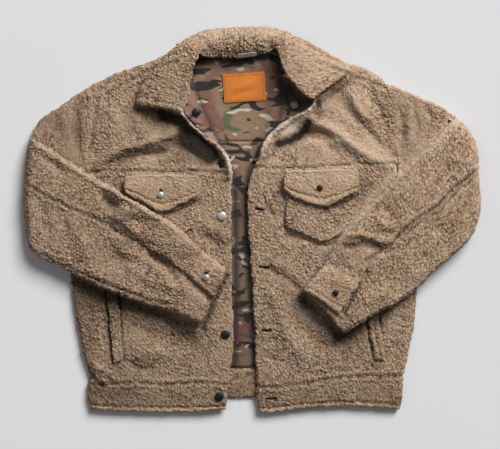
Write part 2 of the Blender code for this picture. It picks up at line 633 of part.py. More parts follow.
# ---- collar --------------------------------------------------------------------------------
# From the wearer's right collar point round the back of the neck to the left one: the edge at
# the neck, the free edge, the heights of both, and how much fuller the cloth is between them.
COLLAR = (
    dict(neck=(-122, 188), free=(-201, 203), neck_z=48, free_z=33, crown=1),
    dict(neck=(-113, 207), free=(-195, 224), neck_z=48, free_z=33, crown=2),
    dict(neck=(-108, 233), free=(-184, 247), neck_z=47, free_z=33, crown=3),
    dict(neck=(-104, 259), free=(-168, 267), neck_z=45, free_z=33, crown=3),
    dict(neck=(-96, 279), free=(-149, 289), neck_z=42, free_z=33, crown=4),
    dict(neck=(-90, 289), free=(-126, 309), neck_z=38, free_z=32, crown=6),
    dict(neck=(-81, 284), free=(-103, 323), neck_z=32, free_z=26, crown=9),
    dict(neck=(-65, 282), free=(-79, 333), neck_z=26, free_z=19, crown=12),
    dict(neck=(-37, 281), free=(-47, 337), neck_z=23, free_z=16, crown=14),
    dict(neck=(-12, 283), free=(-14, 339), neck_z=22, free_z=15, crown=15),
    dict(neck=(10, 286), free=(18, 339), neck_z=23, free_z=16, crown=14),
    dict(neck=(28, 290), free=(46, 335), neck_z=27, free_z=19, crown=12),
    dict(neck=(40, 298), free=(70, 324), neck_z=34, free_z=27, crown=8),
    dict(neck=(45, 289), free=(98, 310), neck_z=40, free_z=33, crown=5),
    dict(neck=(49, 272), free=(124, 295), neck_z=44, free_z=33, crown=4),
    dict(neck=(58, 252), free=(145, 283), neck_z=46, free_z=33, crown=3),
    dict(neck=(79, 230), free=(161, 274), neck_z=48, free_z=33, crown=2),
    dict(neck=(101, 209), free=(170, 260), neck_z=48, free_z=33, crown=1),
)


def collar_grid():
    rows = []
    for station in COLLAR:
        neck, free = np.array(station["neck"], float), np.array(station["free"], float)
        row = []
        for share in np.linspace(0, 1, COLLAR_STEPS + 1):
            spot = neck + (free - neck) * share
            rise = station["neck_z"] + (station["free_z"] - station["neck_z"]) * share
            row.append((spot[0], spot[1], rise + station["crown"] * math.sin(math.pi * share)))
        rows.append(row)
    return np.array(rows)


def make_collar():
    """The collar's two layers, one under the other."""
    grid = collar_grid()
    under = lowered(grid, COLLAR_LAYER + LAY_GAP)
    wall("collar_upper", grid, lowered(grid, COLLAR_LAYER), "sherpa_tan")
    wall("collar_under", under, lowered(under, COLLAR_LAYER), "sherpa_tan")


# ---- hanger loop: a tape along the neck seam, on the middle of the collar -------------------
HANGER_SPAN = (8.4, 9.0, 9.65)      # stations of the collar, counted from its first
HANGER_WIDTH = (0.03, 0.16)         # shares from the neck edge to the free edge
HANGER_RISE = 0.8                   # clear of the pile under it


def make_hanger():
    collar = collar_grid()
    rows = []
    for share in HANGER_WIDTH:
        row = []
        for station in HANGER_SPAN:
            before, across = int(station), share * COLLAR_STEPS
            here, beyond = (collar[near, 0] * (1 - across) + collar[near, 1] * across
                            for near in (before, before + 1))
            row.append(here + (beyond - here) * (station - before))
        rows.append(row)
    under = np.array(rows)[::-1] + np.array((0.0, 0.0, HANGER_RISE))
    wall("hanger_loop", lowered(under, -CLOTH), under, "tape_cream")


# ---- label and fastenings ------------------------------------------------------------------
def plate(name, centre, size, tilt, base, thickness, finish):
    """A thin rectangle of cloth that lies flat."""
    half_x, half_y = size[0] / 2, size[1] / 2
    cosine, sine = math.cos(math.radians(tilt)), math.sin(math.radians(tilt))
    rows = []
    for up in np.linspace(half_y, -half_y, 3):
        rows.append([(centre[0] + along * cosine - up * sine, centre[1] + along * sine + up * cosine,
                      base + thickness) for along in np.linspace(-half_x, half_x, 4)])
    grid = np.array(rows)
    return wall(name, grid, lowered(grid, thickness), finish)


def disc(name, centre, radius, height, top, lift, finish):
    """A domed metal cap on a cloth surface, tilted with it."""
    x, y = centre
    slope_x = (top(x + radius, y) - top(x - radius, y)) / (2 * radius)
    slope_y = (top(x, y + radius) - top(x, y - radius)) / (2 * radius)
    normal = np.array((-float(slope_x), -float(slope_y), 1.0))
    normal /= np.linalg.norm(normal)
    first = np.cross((0.0, 1.0, 0.0), normal)
    first /= np.linalg.norm(first)
    second = np.cross(normal, first)
    foot = np.array((x, y, float(top(x, y)))) + normal * lift
    turns = np.linspace(0, 2 * math.pi, CAP_SIDES + 1)[:-1]
    rings = []
    for reach, rise in CAP_PROFILE:
        rings.append(np.array([foot + normal * rise * height
                               + radius * reach * (math.cos(turn) * first + math.sin(turn) * second)
                               for turn in turns]))
    return rounded_solid(name, rings, finish)


def flap_top(x, y):
    return front_top(x, y) + FLAP_BASE + FLAP_LAYER


def cuff_top(x, y):
    return forearm_base(x, y) + FOREARM_HEIGHT + FOREARM_CROWN


def facing_top(row):
    """Height of a facing at a place, from the points of its own surface near there."""
    plan = patch([row["left"][0], row["right"][0]], [row["left"][-1], row["right"][-1]], row["left"], row["right"])
    across, down = np.meshgrid(np.linspace(0, 1, FACING_SAMPLES), np.linspace(0, 1, 2 * FACING_SAMPLES))
    places = plan(across, down)
    tops = facing_height(row)(places[..., 0], places[..., 1], across, down)

    def top(x, y):
        away = np.hypot(places[..., 0] - x, places[..., 1] - y)
        weight = np.exp(-(away / NEARBY) ** 2)
        return float((weight * tops).sum() / weight.sum())

    return top


FASTENINGS = (
    dict(name="button_front_1", centre=(-54, 98), radius=BUTTON_RADIUS, finish="metal_black", on=front_top),
    dict(name="button_front_2", centre=(-53, 6), radius=BUTTON_RADIUS, finish="metal_nickel", on=front_top),
    dict(name="button_front_3", centre=(-51, -96), radius=BUTTON_RADIUS, finish="metal_nickel", on=front_top),
    dict(name="button_front_4", centre=(-47, -202), radius=BUTTON_RADIUS, finish="metal_black", on=front_top),
    dict(name="button_front_5", centre=(-58, -311), radius=BUTTON_RADIUS, finish="metal_black", on=front_top),
    dict(name="snap_flap_r", centre=(-160, 44), radius=SMALL_SNAP_RADIUS, finish="metal_nickel", on=flap_top),
    dict(name="snap_flap_l", centre=(118, 55), radius=SMALL_SNAP_RADIUS, finish="metal_black", on=flap_top),
    dict(name="snap_cuff_r", centre=(-80, -100), radius=SMALL_SNAP_RADIUS, finish="metal_nickel", on=cuff_top),
    dict(name="snap_cuff_l", centre=(145, -128), radius=SMALL_SNAP_RADIUS, finish="metal_black", on=cuff_top),
    dict(name="snap_neck_r", centre=(-98, 188), radius=NECK_SNAP_RADIUS, finish="metal_black",
         on=facing_top(FACINGS[0]), lift=2.4),
    dict(name="snap_neck_l", centre=(74, 201), radius=NECK_SNAP_RADIUS, finish="metal_nickel",
         on=facing_top(FACINGS[1]), lift=2.4),
)


def make_small_parts():
    plate("label", (-14, 232), LABEL_SIZE, LABEL_TILT, LINING_TOP + LAY_GAP, CLOTH, "label_orange")
    for row in FASTENINGS:
        disc(row["name"], row["centre"], row["radius"], BUTTON_HEIGHT, row["on"], row.get("lift", BUTTON_LIFT),
             row["finish"])


for old in list(bpy.data.objects):
    bpy.data.objects.remove(old, do_unlink=True)
JACKET = bpy.data.objects.new("jacket", None)
bpy.context.scene.collection.objects.link(JACKET)

make_body()
make_facings()
make_pockets()
for arm_row in ARMS:
    upper_arm(arm_row)
    forearm(arm_row)
    cuff(arm_row)
for elbow_row in ELBOWS:
    elbow(elbow_row)
make_collar()
make_hanger()
make_small_parts()
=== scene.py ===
"""Sherpa trucker jacket, laid out flat on its back with the forearms folded over the front.

The looks: every cloth piece is a thin shell on the form of its solid, with curly pile, seams and
creases. Axes as in the model: +X to the right and +Y to the top as seen from above, +Z up.
Left and right in the names are the wearer's. Tables hold millimetres; meshes are made in metres.
"""

import json
import math

import bpy
import numpy as np
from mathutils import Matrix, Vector

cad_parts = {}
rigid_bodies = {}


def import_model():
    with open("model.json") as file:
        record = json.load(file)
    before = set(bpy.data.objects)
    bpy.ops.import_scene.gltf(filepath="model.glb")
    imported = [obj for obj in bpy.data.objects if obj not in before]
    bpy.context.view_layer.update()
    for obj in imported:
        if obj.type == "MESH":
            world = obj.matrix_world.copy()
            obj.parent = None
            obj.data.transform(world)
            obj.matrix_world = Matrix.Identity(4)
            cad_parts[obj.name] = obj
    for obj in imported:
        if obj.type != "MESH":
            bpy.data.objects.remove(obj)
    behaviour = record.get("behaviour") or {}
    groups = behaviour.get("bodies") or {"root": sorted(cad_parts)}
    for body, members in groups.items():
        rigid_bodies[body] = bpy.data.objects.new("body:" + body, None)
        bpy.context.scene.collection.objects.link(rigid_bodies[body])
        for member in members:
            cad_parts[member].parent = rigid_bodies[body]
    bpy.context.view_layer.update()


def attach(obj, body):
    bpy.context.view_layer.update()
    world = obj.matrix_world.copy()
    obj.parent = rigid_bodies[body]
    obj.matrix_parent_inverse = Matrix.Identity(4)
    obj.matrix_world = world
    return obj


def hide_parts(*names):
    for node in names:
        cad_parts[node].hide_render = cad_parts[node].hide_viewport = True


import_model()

MM = 0.001

# ---- the same driving dimensions as the solids, in millimetres -----------------------------
SHERPA = 8.0
BACK_SHERPA = 7.0
CLOTH = 1.2
LAY_GAP = 0.4
POCKET_LAYER = 5.0
FLAP_LAYER = 6.0
WELT_LAYER = 4.0
BACK_WAIST = 8.2
LINING_TOP = 8.4
FRONT_TOP = 17.8
SIDE_DROP = 1.2
SIDE_ROLL = 40.0
ARM_HEIGHT = 18.0
FOREARM_CROWN = 1.9
FOREARM_LIFT = 1.2
STACK_EASE = 36.0
BUTTON_RADIUS = 7.8
SMALL_SNAP_RADIUS = 5.5
NECK_SNAP_RADIUS = 7.6

# ---- the pile --------------------------------------------------------------------------------
CELL = 1.55     # mesh spacing where the pile shows
COARSE = 4                             # how many cells one hidden cell spans
CURL = 4.9                             # from one curl to the next
CURL_HEIGHT = 3.4
FINE_CURL = 3.1
RIM_STEPS = 8                          # round a rolled edge
RIM_TURN = math.radians(150)

# ---- outlines, from above: seams are shared by the pieces on both sides of them ---------------
SHOULDER_SEAM_R = [(-289, 209), (-266, 214), (-222, 240), (-175, 265), (-133, 275)]
ARMHOLE_R = [(-289, 209), (-290, 184), (-296, 156), (-301, 133), (-298, 107), (-294, 83)]
YOKE_SEAM_R = [(-294, 83), (-215, 86), (-156, 83), (-94, 85), (-37, 81)]
NECK_EDGE_R = [(-133, 275), (-121, 235), (-122, 186), (-86, 148), (-60, 127), (-44, 107), (-37, 81)]
SIDE_R = [(-294, 83), (-301, 25), (-310, -26), (-320, -75), (-319, -106), (-314, -143), (-303, -210),
          (-286, -288)]
FRONT_EDGE_R = [(-37, 81), (-37, -35), (-35, -133), (-33, -220), (-40, -266), (-43, -290)]
WAIST_SEAM_R = [(-286, -288), (-262, -290), (-202, -286), (-147, -290), (-91, -286), (-43, -290)]
HEM_R = [(-281, -332), (-202, -336), (-113, -336), (-46, -333)]

SHOULDER_SEAM_L = [(112, 275), (163, 256), (198, 244), (233, 230)]
ARMHOLE_L = [(233, 230), (245, 203), (253, 175), (249, 149), (252, 121), (255, 98)]
YOKE_SEAM_L = [(0, 91), (49, 90), (94, 90), (182, 96), (255, 98)]
NECK_EDGE_L = [(112, 275), (105, 235), (105, 196), (69, 176), (33, 148), (14, 119), (0, 91)]
SIDE_L = [(255, 98), (262, 42), (280, -10), (291, -75), (290, -124), (285, -185), (273, -241), (266, -274)]
FRONT_EDGE_L = [(0, 91), (-8, 51), (-8, -1), (-4, -57), (0, -124), (4, -194), (8, -294)]
WAIST_SEAM_L = [(8, -294), (51, -294), (116, -283), (172, -276), (266, -274)]
HEM_L = [(12, -336), (32, -339), (66, -333), (126, -327), (196, -327), (259, -331)]

STRAIGHT = ()                           # a side that runs straight from the top edge to the bottom one

SEAM, FREE, SIDE = 3.8, 3.9, 7.6       # radius of the roll at a seam, a free edge and a body side

# Name, top, bottom, left and right edge, and the rolls of these four.
PANELS = (
    ("yoke_front_r", SHOULDER_SEAM_R, YOKE_SEAM_R, ARMHOLE_R, NECK_EDGE_R, (SEAM, SEAM, SEAM, FREE)),
    ("front_r", YOKE_SEAM_R, WAIST_SEAM_R, SIDE_R, FRONT_EDGE_R, (SEAM, SEAM, SIDE, FREE)),
    ("waistband_front_r", [(-290, -288)] + WAIST_SEAM_R[1:], [(-284, -332)] + HEM_R[1:],
     [(-290, -288), (-289, -311), (-284, -332)], [(-43, -290), (-44, -311), (-46, -333)],
     (SEAM, FREE, SIDE, FREE)),
    ("shoulder_r", [(-294, 230), (-241, 256), (-196, 272), (-140, 293)], SHOULDER_SEAM_R, STRAIGHT, STRAIGHT,
     (SIDE, SEAM, SEAM, SEAM)),
    ("yoke_front_l", SHOULDER_SEAM_L, YOKE_SEAM_L, NECK_EDGE_L, ARMHOLE_L, (SEAM, SEAM, FREE, SEAM)),
    ("front_l", YOKE_SEAM_L, WAIST_SEAM_L, FRONT_EDGE_L, SIDE_L, (SEAM, SEAM, FREE, SIDE)),
    ("waistband_front_l", WAIST_SEAM_L, HEM_L, [(8, -294), (8, -311), (12, -336)],
     [(266, -274), (264, -311), (259, -331)], (SEAM, FREE, FREE, SIDE)),
    ("shoulder_l", [(122, 294), (168, 275), (197, 266), (228, 248)], SHOULDER_SEAM_L, STRAIGHT, STRAIGHT,
     (SIDE, SEAM, SEAM, SEAM)),
)

# Soft folds of the fronts: their line, half width and height.
FOLDS = (
    ([(-259, 98), (-178, 137)], 14, 3.5),
    ([(-178, 137), (-116, 154)], 12, 3.0),
    ([(175, 230), (210, 177)], 12, 2.5),
    ([(98, 170), (228, 107)], 13, 3.5),
    ([(-178, -220), (-82, -194)], 22, 2.5),
    ([(40, -141), (84, -229)], 20, 2.5),
)
NECK_LIFTS = ((-121, 188), (103, 198))  # where the collar's ends raise the fronts
NECK_REACH = 52
NECK_HEIGHT = 15.0
# What lies under the forearms on each front: centre, half size and height.
STACKS = (
    ((-159, 48), (68, 33), 12.2),
    ((-159, 13), (58, 52), 5.8),
    ((116, 20), (60, 58), 5.8),
    ((-243, -180), (24, 78), 5.4),
    ((212, -196), (24, 60), 5.4),
    ((-51, -96), (8, 8), 4.0),
)

# Creases on the body and on each stretch of sleeve: the line that each follows,
# its half width, and its rise, which is negative for a trough. An even one neither sways nor fades.
CREASES = {
    "body": (
        # wearer's right chest: the fold below the collar, and the hollows under and behind it
        ([(-271, 93), (-248, 114), (-224, 125), (-184, 130), (-147, 144), (-122, 156)], 5.5, 6.0),
        ([(-259, 91), (-228, 105), (-178, 114), (-130, 126)], 8, -5.5),
        ([(-150, 181), (-130, 167), (-105, 140), (-80, 119), (-58, 97)], 14, -13.0),
        ([(-144, 139), (-112, 125), (-84, 107)], 13, -4.0),
        ([(-119, 188), (-86, 151), (-60, 130), (-44, 109), (-37, 69)], 6.5, 9.5),
        ([(-196, 188), (-161, 181), (-130, 174)], 16, -4.5),
        ([(-259, 202), (-245, 177), (-250, 149)], 10, 2.2),
        ([(-273, 191), (-276, 160), (-280, 128), (-275, 104)], 7, -2.6),
        ([(-217, 209), (-203, 184), (-206, 156)], 12, 2.0),
        # wearer's left chest: two long ridges and what lies between them
        ([(98, 179), (136, 161), (175, 128), (210, 107), (242, 97)], 9.5, 4.3),
        ([(154, 230), (175, 212), (192, 186), (217, 146)], 7.5, 4.4),
        ([(158, 202), (182, 181), (206, 149), (231, 125)], 8.5, -4.2),
        ([(102, 160), (126, 139), (150, 118)], 10, -4.0),
        ([(200, 230), (214, 205), (224, 177)], 7, -3.2),
        ([(229, 209), (234, 181), (234, 149), (242, 118)], 6, -2.6),
        ([(56, 128), (84, 142), (112, 154), (144, 142)], 8.5, -8.5),
        ([(105, 198), (68, 174), (33, 146), (16, 118), (0, 69)], 5.5, 8.0),
        # fronts
        ([(-91, -22), (-70, -40), (-52, -64)], 11, -4.0),
        ([(-98, -5), (-74, -15), (-49, -36)], 9, 2.5),
        ([(18, 44), (26, 25), (38, -5)], 3.2, -2.6),
        ([(60, -26), (91, -36), (130, -47), (158, -33)], 4, -3.4),
        ([(54, -5), (66, -29), (84, -40)], 9, -3.5),
        ([(24, -78), (52, -99), (88, -129)], 7, -4.0),
        ([(18, -103), (35, -141), (63, -201), (94, -246)], 12, 2.6),
        ([(84, -194), (122, -218), (175, -229)], 13, -2.6),
        ([(10, -229), (42, -250), (84, -267)], 9, -2.0),
        ([(164, -218), (175, -246), (172, -271)], 9, 2.2),
        ([(-210, -180), (-175, -201), (-122, -211)], 13, -2.6),
        ([(-214, -232), (-168, -243), (-105, -232)], 12, 2.4),
        ([(-229, -246), (-203, -257), (-175, -264)], 7, -3.4),
        ([(210, -169), (215, -208), (224, -243)], 2.6, -2.2, "even"),
        ([(-98, -173), (-80, -218), (-84, -260)], 11, -2.4),
        ([(-294, -257), (-280, -278), (-261, -295)], 4.5, -4.6),
        ([(-280, -250), (-259, -271), (-234, -281)], 6, 2.8),
        ([(-287, -134), (-273, -180), (-270, -229)], 10, 2.0),
        ([(259, -194), (252, -232), (245, -264)], 8, -2.2),
        # hems: a row of stitches above the rolled edge
        ([(-278, -326), (-203, -330), (-112, -330), (-47, -327)], 2.2, -2.0, "even"),
        ([(12, -330), (35, -331), (66, -326), (126, -321), (196, -321), (259, -325)], 2.2, -2.0, "even"),
    ),
    "upper_r": (
        # wearer's right sleeve
        ([(-301, 209), (-308, 174), (-315, 139), (-304, 111)], 10, -4.0),
        ([(-326, 202), (-336, 170), (-332, 135)], 9, 2.4),
        ([(-350, 181), (-336, 153), (-318, 121)], 8, -2.0),
    ),
    "fore_r": (
        ([(-383, 135), (-336, 104), (-284, 72), (-217, 32), (-140, -15)], 5.5, 2.4),
        ([(-378, 118), (-350, 97), (-318, 76)], 9, -2.4),
        ([(-270, 44), (-242, 28), (-210, 20)], 9, -6.5),
        ([(-259, 13), (-224, -5), (-196, -29)], 8, 4.2),
        ([(-242, -19), (-210, -33), (-172, -49)], 8, -6.8),
        ([(-245, -36), (-217, -57), (-178, -75)], 9, 4.4),
        ([(-196, -54), (-161, -75), (-130, -106)], 8, -6.2),
        ([(-382, 41), (-364, 9), (-360, -29)], 12, -2.4),
        ([(-315, 9), (-304, -26), (-294, -61)], 10, 2.4),
        ([(-343, 23), (-332, -15), (-332, -54)], 9, -1.8),
        ([(-231, -75), (-186, -99), (-133, -124)], 9, 2.2),
        ([(-388, -52), (-336, -78), (-266, -109), (-184, -140), (-136, -152)], 2.8, -1.5),
    ),
    "upper_l": (
        # wearer's left sleeve
        ([(256, 195), (262, 160), (262, 121)], 7, -4.4),
        ([(273, 195), (276, 160), (273, 128)], 6.5, 3.4),
        ([(301, 205), (312, 181), (304, 146)], 6, -2.8),
        ([(322, 188), (322, 167), (308, 142)], 6, 2.4),
        ([(280, 212), (287, 181), (287, 142)], 5, -2.0),
    ),
    "fore_l": (
        ([(350, 167), (301, 118), (259, 76), (220, 34), (168, -17), (122, -75)], 5, 2.8),
        ([(161, -31), (192, -26), (224, -36), (248, -42)], 5.5, 4.2),
        ([(158, -49), (192, -42), (231, -57)], 9, -6.0),
        ([(206, 20), (234, 13), (259, -8)], 9, -3.2),
        ([(210, -5), (245, -12), (273, -5)], 7, 3.0),
        ([(136, -78), (150, -82), (172, -89)], 4.5, -2.6),
        ([(147, -99), (164, -105), (182, -108)], 4.5, -2.6),
        ([(336, 128), (357, 104), (382, 90)], 10, 2.2),
        ([(315, -5), (336, -29), (346, -57)], 11, -2.2),
        ([(266, -50), (276, -82), (294, -106)], 12, 2.4),
        ([(217, -75), (234, -110), (256, -134)], 10, -2.2),
    ),
}
CREASE_END = 0.25                       # what is left of a crease at its ends
CREASE_SWAY = 0.35                      # how far it sways, in half widths
CREASE_ROWS = [(where, *row) for where, rows in CREASES.items() for row in rows]

# Where the pile is brushed smooth, or lies deep in curls: a line or a place, its reach, and what
# is left of the pile there.
PILE_AREAS = (
    ([(-161, 149)], 36, 0.55),
    ([(-82, 118)], 44, 0.35),
    ([(-178, 104)], 44, 0.6),
    ([(77, 153)], 34, 0.22),
    ([(130, 125)], 60, 0.35),
    ([(172, 191)], 52, 0.4),
    ([(210, 128)], 44, 0.45),
    ([(-217, 174)], 40, 0.7),
    ([(-21, 305)], 60, 1.35),
    ([(-10, 279)], 70, 1.35),
    ([(355, 175), (301, 123), (257, 83), (164, -12), (136, -47)], 20, 0.65),
    ([(-256, 107), (-226, 123), (-184, 130), (-147, 144)], 7, 1.3),
    ([(-122, 189), (-86, 149), (-60, 128), (-43, 107), (-35, 76)], 6, 1.6),
    ([(105, 198), (68, 175), (33, 147)], 4, 1.8),
    ([(242, 104), (189, 121), (140, 156), (105, 177)], 12, 0.5),
    ([(266, 202), (290, 174), (280, 128)], 44, 0.5),
    ([(84, 268), (122, 258), (154, 272)], 48, 0.62),
    ([(-357, 174), (-329, 156), (-312, 111)], 40, 0.6),
)

# Painted light and shade on the pile, paler on lit rolled edges and ridges, and darker below 0 in hollows
# and under other pieces: a line, its reach and the gain.
PILE_PAINTED_LIGHT = (
    ([(-122, 189), (-86, 148), (-60, 127), (-43, 107), (-35, 76), (-33, 41)], 5.5, 1.15),
    ([(105, 202), (68, 176), (33, 148), (16, 121), (-2, 90), (-8, 51)], 5.5, 0.8),
    ([(89, 177), (74, 164), (58, 151)], 7, 0.8),
    ([(103, 210), (104, 198), (89, 187)], 4.5, 0.8),
    ([(115, 209), (119, 193), (116, 179)], 7, -0.6),
    ([(56, 254), (61, 244), (74, 229), (88, 217)], 2.8, 1.4),
    ([(-280, -334), (-196, -337), (-112, -336), (-46, -333)], 3.2, 0.5),
    ([(12, -336), (66, -333), (126, -327), (196, -327), (259, -331)], 3.2, 0.5),
    ([(103, 179), (140, 160), (178, 123), (238, 95)], 9, 0.3),
    ([(7, 92), (84, 92), (154, 94), (245, 100)], 3.4, 0.3),
    ([(254, 104), (257, 81)], 3.4, 0.7),
    ([(350, 167), (301, 118), (257, 77), (164, -17), (107, -108)], 12, 0.24),
    ([(-390, 139), (-336, 105), (-284, 74), (-217, 34), (-144, -12)], 7, 0.15),
    ([(-214, 69), (-102, 69)], 12, 0.25),
    ([(66, 76), (178, 76)], 12, 0.3),
    ([(91, 223), (130, 254), (154, 272)], 26, 0.02),
    # painted shade in the hollows of the fronts
    ([(-112, 144), (-93, 131), (-75, 119)], 19, -1.7),
    ([(-156, 181), (-138, 175), (-122, 168)], 10, -1.25),
    ([(-245, 104), (-217, 114), (-186, 119), (-158, 123)], 7, -0.5),
    ([(-200, 192), (-175, 191), (-126, 175)], 6, -0.7),
    ([(46, 132), (63, 137), (82, 146), (94, 160), (98, 172)], 8, -1.25),
    ([(108, 198), (147, 224), (172, 244)], 6, -0.6),
    ([(191, 76), (200, 58), (192, 37)], 9, -0.3),
    # painted shadows beneath the flaps, the sleeves and the cuffs
    ([(-152, 9), (-122, 20), (-93, 36)], 4.0, -0.8),
    ([(126, 17), (156, 27), (184, 43)], 4.0, -0.8),
    ([(-315, -106), (-266, -127), (-214, -148), (-152, -173), (-105, -201)], 11, -0.55),
    ([(-294, -124), (-217, -162), (-105, -208)], 26, -0.28),
    ([(89, -145), (116, -176), (150, -206), (175, -203), (203, -185), (234, -164)], 11, -0.6),
    ([(84, -152), (122, -194), (172, -222)], 26, -0.3),
    ([(-85, -190), (-66, -141), (-45, -98)], 6, -0.75),
    ([(-257, -124), (-251, -187), (-245, -250)], 2.4, -0.8),
    ([(224, -173), (228, -197)], 3, -0.7),
    ([(-228, -248), (-203, -259), (-178, -264)], 7, -0.3),
    ([(-276, -302), (-245, -306), (-217, -304)], 14, -0.35),
    ([(-289, -262), (-275, -281), (-259, -294)], 3.5, -0.5),
    ([(-289, -280), (-271, -297)], 2.5, -0.4),
    ([(-234, -127), (-228, -187), (-225, -246)], 2.6, -0.6),
    # painted shade along the seams and folds of the sleeves
    ([(-388, -52), (-336, -78), (-266, -109), (-184, -140), (-136, -152)], 2.6, -0.3),
    ([(-392, 62), (-362, 42), (-317, 20), (-273, 2)], 2.6, -0.3),
    ([(200, -69), (220, -57), (243, -43)], 3.0, -0.6),
    ([(243, -43), (261, -21), (289, 2), (323, 25), (351, 56), (388, 84)], 2.6, -0.45),
    ([(-257, 32), (-234, 18), (-217, 6)], 9, -0.35),
    ([(-220, -35), (-186, -52), (-150, -75)], 8, -0.4),
    ([(-303, 205), (-306, 174), (-301, 142)], 9, -0.25),
    ([(164, -47), (192, -42), (220, -50)], 7, -0.5),
    ([(161, -164), (177, -134), (191, -110)], 2.6, -0.8),
    # broad light and shade of the fronts and the collar
    ([(32, -85), (60, -105), (89, -127)], 8, -0.35),
    ([(21, -120), (38, -159), (66, -208), (102, -250)], 12, 0.14),
    ([(-231, -220), (-178, -232), (-112, -229)], 20, 0.12),
    ([(-303, -150), (-290, -220), (-284, -264)], 9, -0.22),
    ([(-84, 291), (-52, 289), (-12, 291), (28, 296)], 10, -0.38),
    ([(-70, 326), (-14, 331), (42, 326)], 11, 0.16),
    ([(-112, 268), (-119, 237), (-124, 202)], 9, -0.15),
    ([(-280, -309), (-46, -313)], 30, -0.16),
    ([(10, -313), (259, -306)], 30, -0.2),
    ([(266, 202), (290, 170), (276, 121)], 30, -0.26),
    ([(-357, 177), (-329, 153), (-315, 114)], 26, -0.24),
    ([(-126, 128), (-98, 125), (-77, 111)], 34, -0.3),
)

# Lines of the seams: their valleys sink and get painted shade, and the curls beside them rise and get painted
# light.
SEAM_ROWS = (
    YOKE_SEAM_R, YOKE_SEAM_L, WAIST_SEAM_R, WAIST_SEAM_L, SHOULDER_SEAM_R, SHOULDER_SEAM_L,
    [(206, 240), (217, 212), (231, 177)], [(-273, 209), (-278, 160), (-287, 111)],
    [(-394, 63), (-362, 42), (-317, 20), (-273, 2), (-236, -21), (-210, -38)],
    [(394, 90), (388, 84), (351, 56), (323, 25), (289, 2), (261, -21), (243, -40)],
    [(396, 79), (357, 49), (329, 18), (294, -5), (266, -28)],
    [(-392, -47), (-336, -75), (-266, -106), (-184, -138), (-145, -148)],
    [(201, -173), (206, -211), (215, -246)],
)

# Buttonholes, and the small eyelets above two of the snaps: centre, tilt in degrees, half length
# and half width, and the depth.
HOLES = (
    ((13, 18), -12, (7.4, 1.9), 3.6),
    ((21, -84), -4, (8.6, 2.0), 3.6),
    ((24, -195), 2, (8.2, 2.0), 3.6),
    ((34, -315), 0, (9.0, 2.0), 3.6),
    ((-160, 50), 0, (3.2, 2.2), 1.6),
    ((-81, -93), 0, (3.2, 2.2), 1.6),
)
HOLE_PAINTED_SHADE = 3.0                         # painted shade: how much darker a hole is


# ---- steady noise ------------------------------------------------------------------------------
PLACE_FACTORS = (73856093, 19349663, 83492791)
SALT_FACTOR = 97911
MIXING = ((13, 1274126177), (16, 2246822519), (15, 1))      # shifts and factors, in their order


def lattice(cells, salt):
    """A steady number from 0 to 1 for each whole-numbered place."""
    mixed = np.uint32(salt * SALT_FACTOR)
    for axis, factor in enumerate(PLACE_FACTORS):
        mixed = mixed ^ cells[..., axis].astype(np.int64).astype(np.uint32) * np.uint32(factor)
    for shift, factor in MIXING:
        mixed ^= mixed >> np.uint32(shift)
        mixed *= np.uint32(factor)
    return mixed.astype(np.float64) / 2.0 ** 32


def drift(points, size, salt):
    """Soft noise from -1 to 1 with bumps of the size given."""
    scaled = points / size
    base = np.floor(scaled)
    part = scaled - base
    part = part * part * (3 - 2 * part)
    total = np.zeros(points.shape[:-1])
    for corner in np.ndindex(2, 2, 2):
        weight = np.prod(np.where(np.array(corner, dtype=bool), part, 1 - part), axis=-1)
        total += weight * lattice(base + corner, salt)
    return total * 2 - 1


def curls(points, size, salt):
    """Height of a field of curls, 0 in the gaps between them and up to 1 on top."""
    scaled = points / size
    base = np.floor(scaled)
    nearest = np.full(points.shape[:-1], 9.0)
    second = np.full(points.shape[:-1], 9.0)
    tallness = np.zeros(points.shape[:-1])
    for step in np.ndindex(3, 3, 3):
        cell = base + (np.array(step) - 1)
        moved = np.stack([lattice(cell, salt + axis) for axis in range(3)], axis=-1) - 0.5
        centre = cell + 0.5 + 0.8 * moved
        away = np.sqrt(((scaled - centre) ** 2).sum(axis=-1))
        closer = away < nearest
        second = np.where(closer, nearest, np.minimum(second, away))
        tallness = np.where(closer, lattice(cell, salt + 7), tallness)
        nearest = np.where(closer, away, nearest)
    gap = np.clip((second - nearest) / 0.42, 0, 1)
    dome = np.clip(1.15 - nearest ** 2, 0, 1)
    return np.sqrt(gap) * dome * (0.62 + 0.38 * tallness)


# ---- outlines and heights --------------------------------------------------------------------
def edge(points):
    """A smooth curve through the points, as a function of the share of its length."""
    knots = np.array(points, dtype=float)
    if len(knots) == 2:
        return lambda share: knots[0] + np.multiply.outer(np.asarray(share, dtype=float), knots[1] - knots[0])
    padded = np.vstack((2 * knots[0] - knots[1], knots, 2 * knots[-1] - knots[-2]))
    fine = [knots[0]]
    for first, second, third, fourth in zip(padded, padded[1:], padded[2:], padded[3:]):
        for t in np.linspace(0, 1, 17)[1:]:
            fine.append(0.5 * (2 * second + (third - first) * t
                               + (2 * first - 5 * second + 4 * third - fourth) * t ** 2
                               + (3 * second - first - 3 * third + fourth) * t ** 3))
    fine = np.array(fine)
    run = np.concatenate(([0.0], np.cumsum(np.linalg.norm(np.diff(fine[:, :2], axis=0), axis=1))))
    run /= run[-1]

    def at(share):
        return np.stack([np.interp(share, run, fine[:, axis]) for axis in range(fine.shape[1])], axis=-1)

    return at


def patch(top, bottom, left=STRAIGHT, right=STRAIGHT):
    """The plan surface inside four edges, as a function of two shares (across, down)."""
    left, right = left or [top[0], bottom[0]], right or [top[-1], bottom[-1]]
    top, bottom, left, right = (edge(points) for points in (top, bottom, left, right))
    corners = top(0.0), top(1.0), bottom(0.0), bottom(1.0)

    def at(across, down):
        across, down = np.broadcast_arrays(np.asarray(across, float), np.asarray(down, float))
        u, v = across[..., None], down[..., None]
        ruled = (1 - v) * top(across) + v * bottom(across) + (1 - u) * left(down) + u * right(down)
        bilinear = ((1 - v) * ((1 - u) * corners[0] + u * corners[1])
                    + v * ((1 - u) * corners[2] + u * corners[3]))
        return ruled - bilinear

    return at


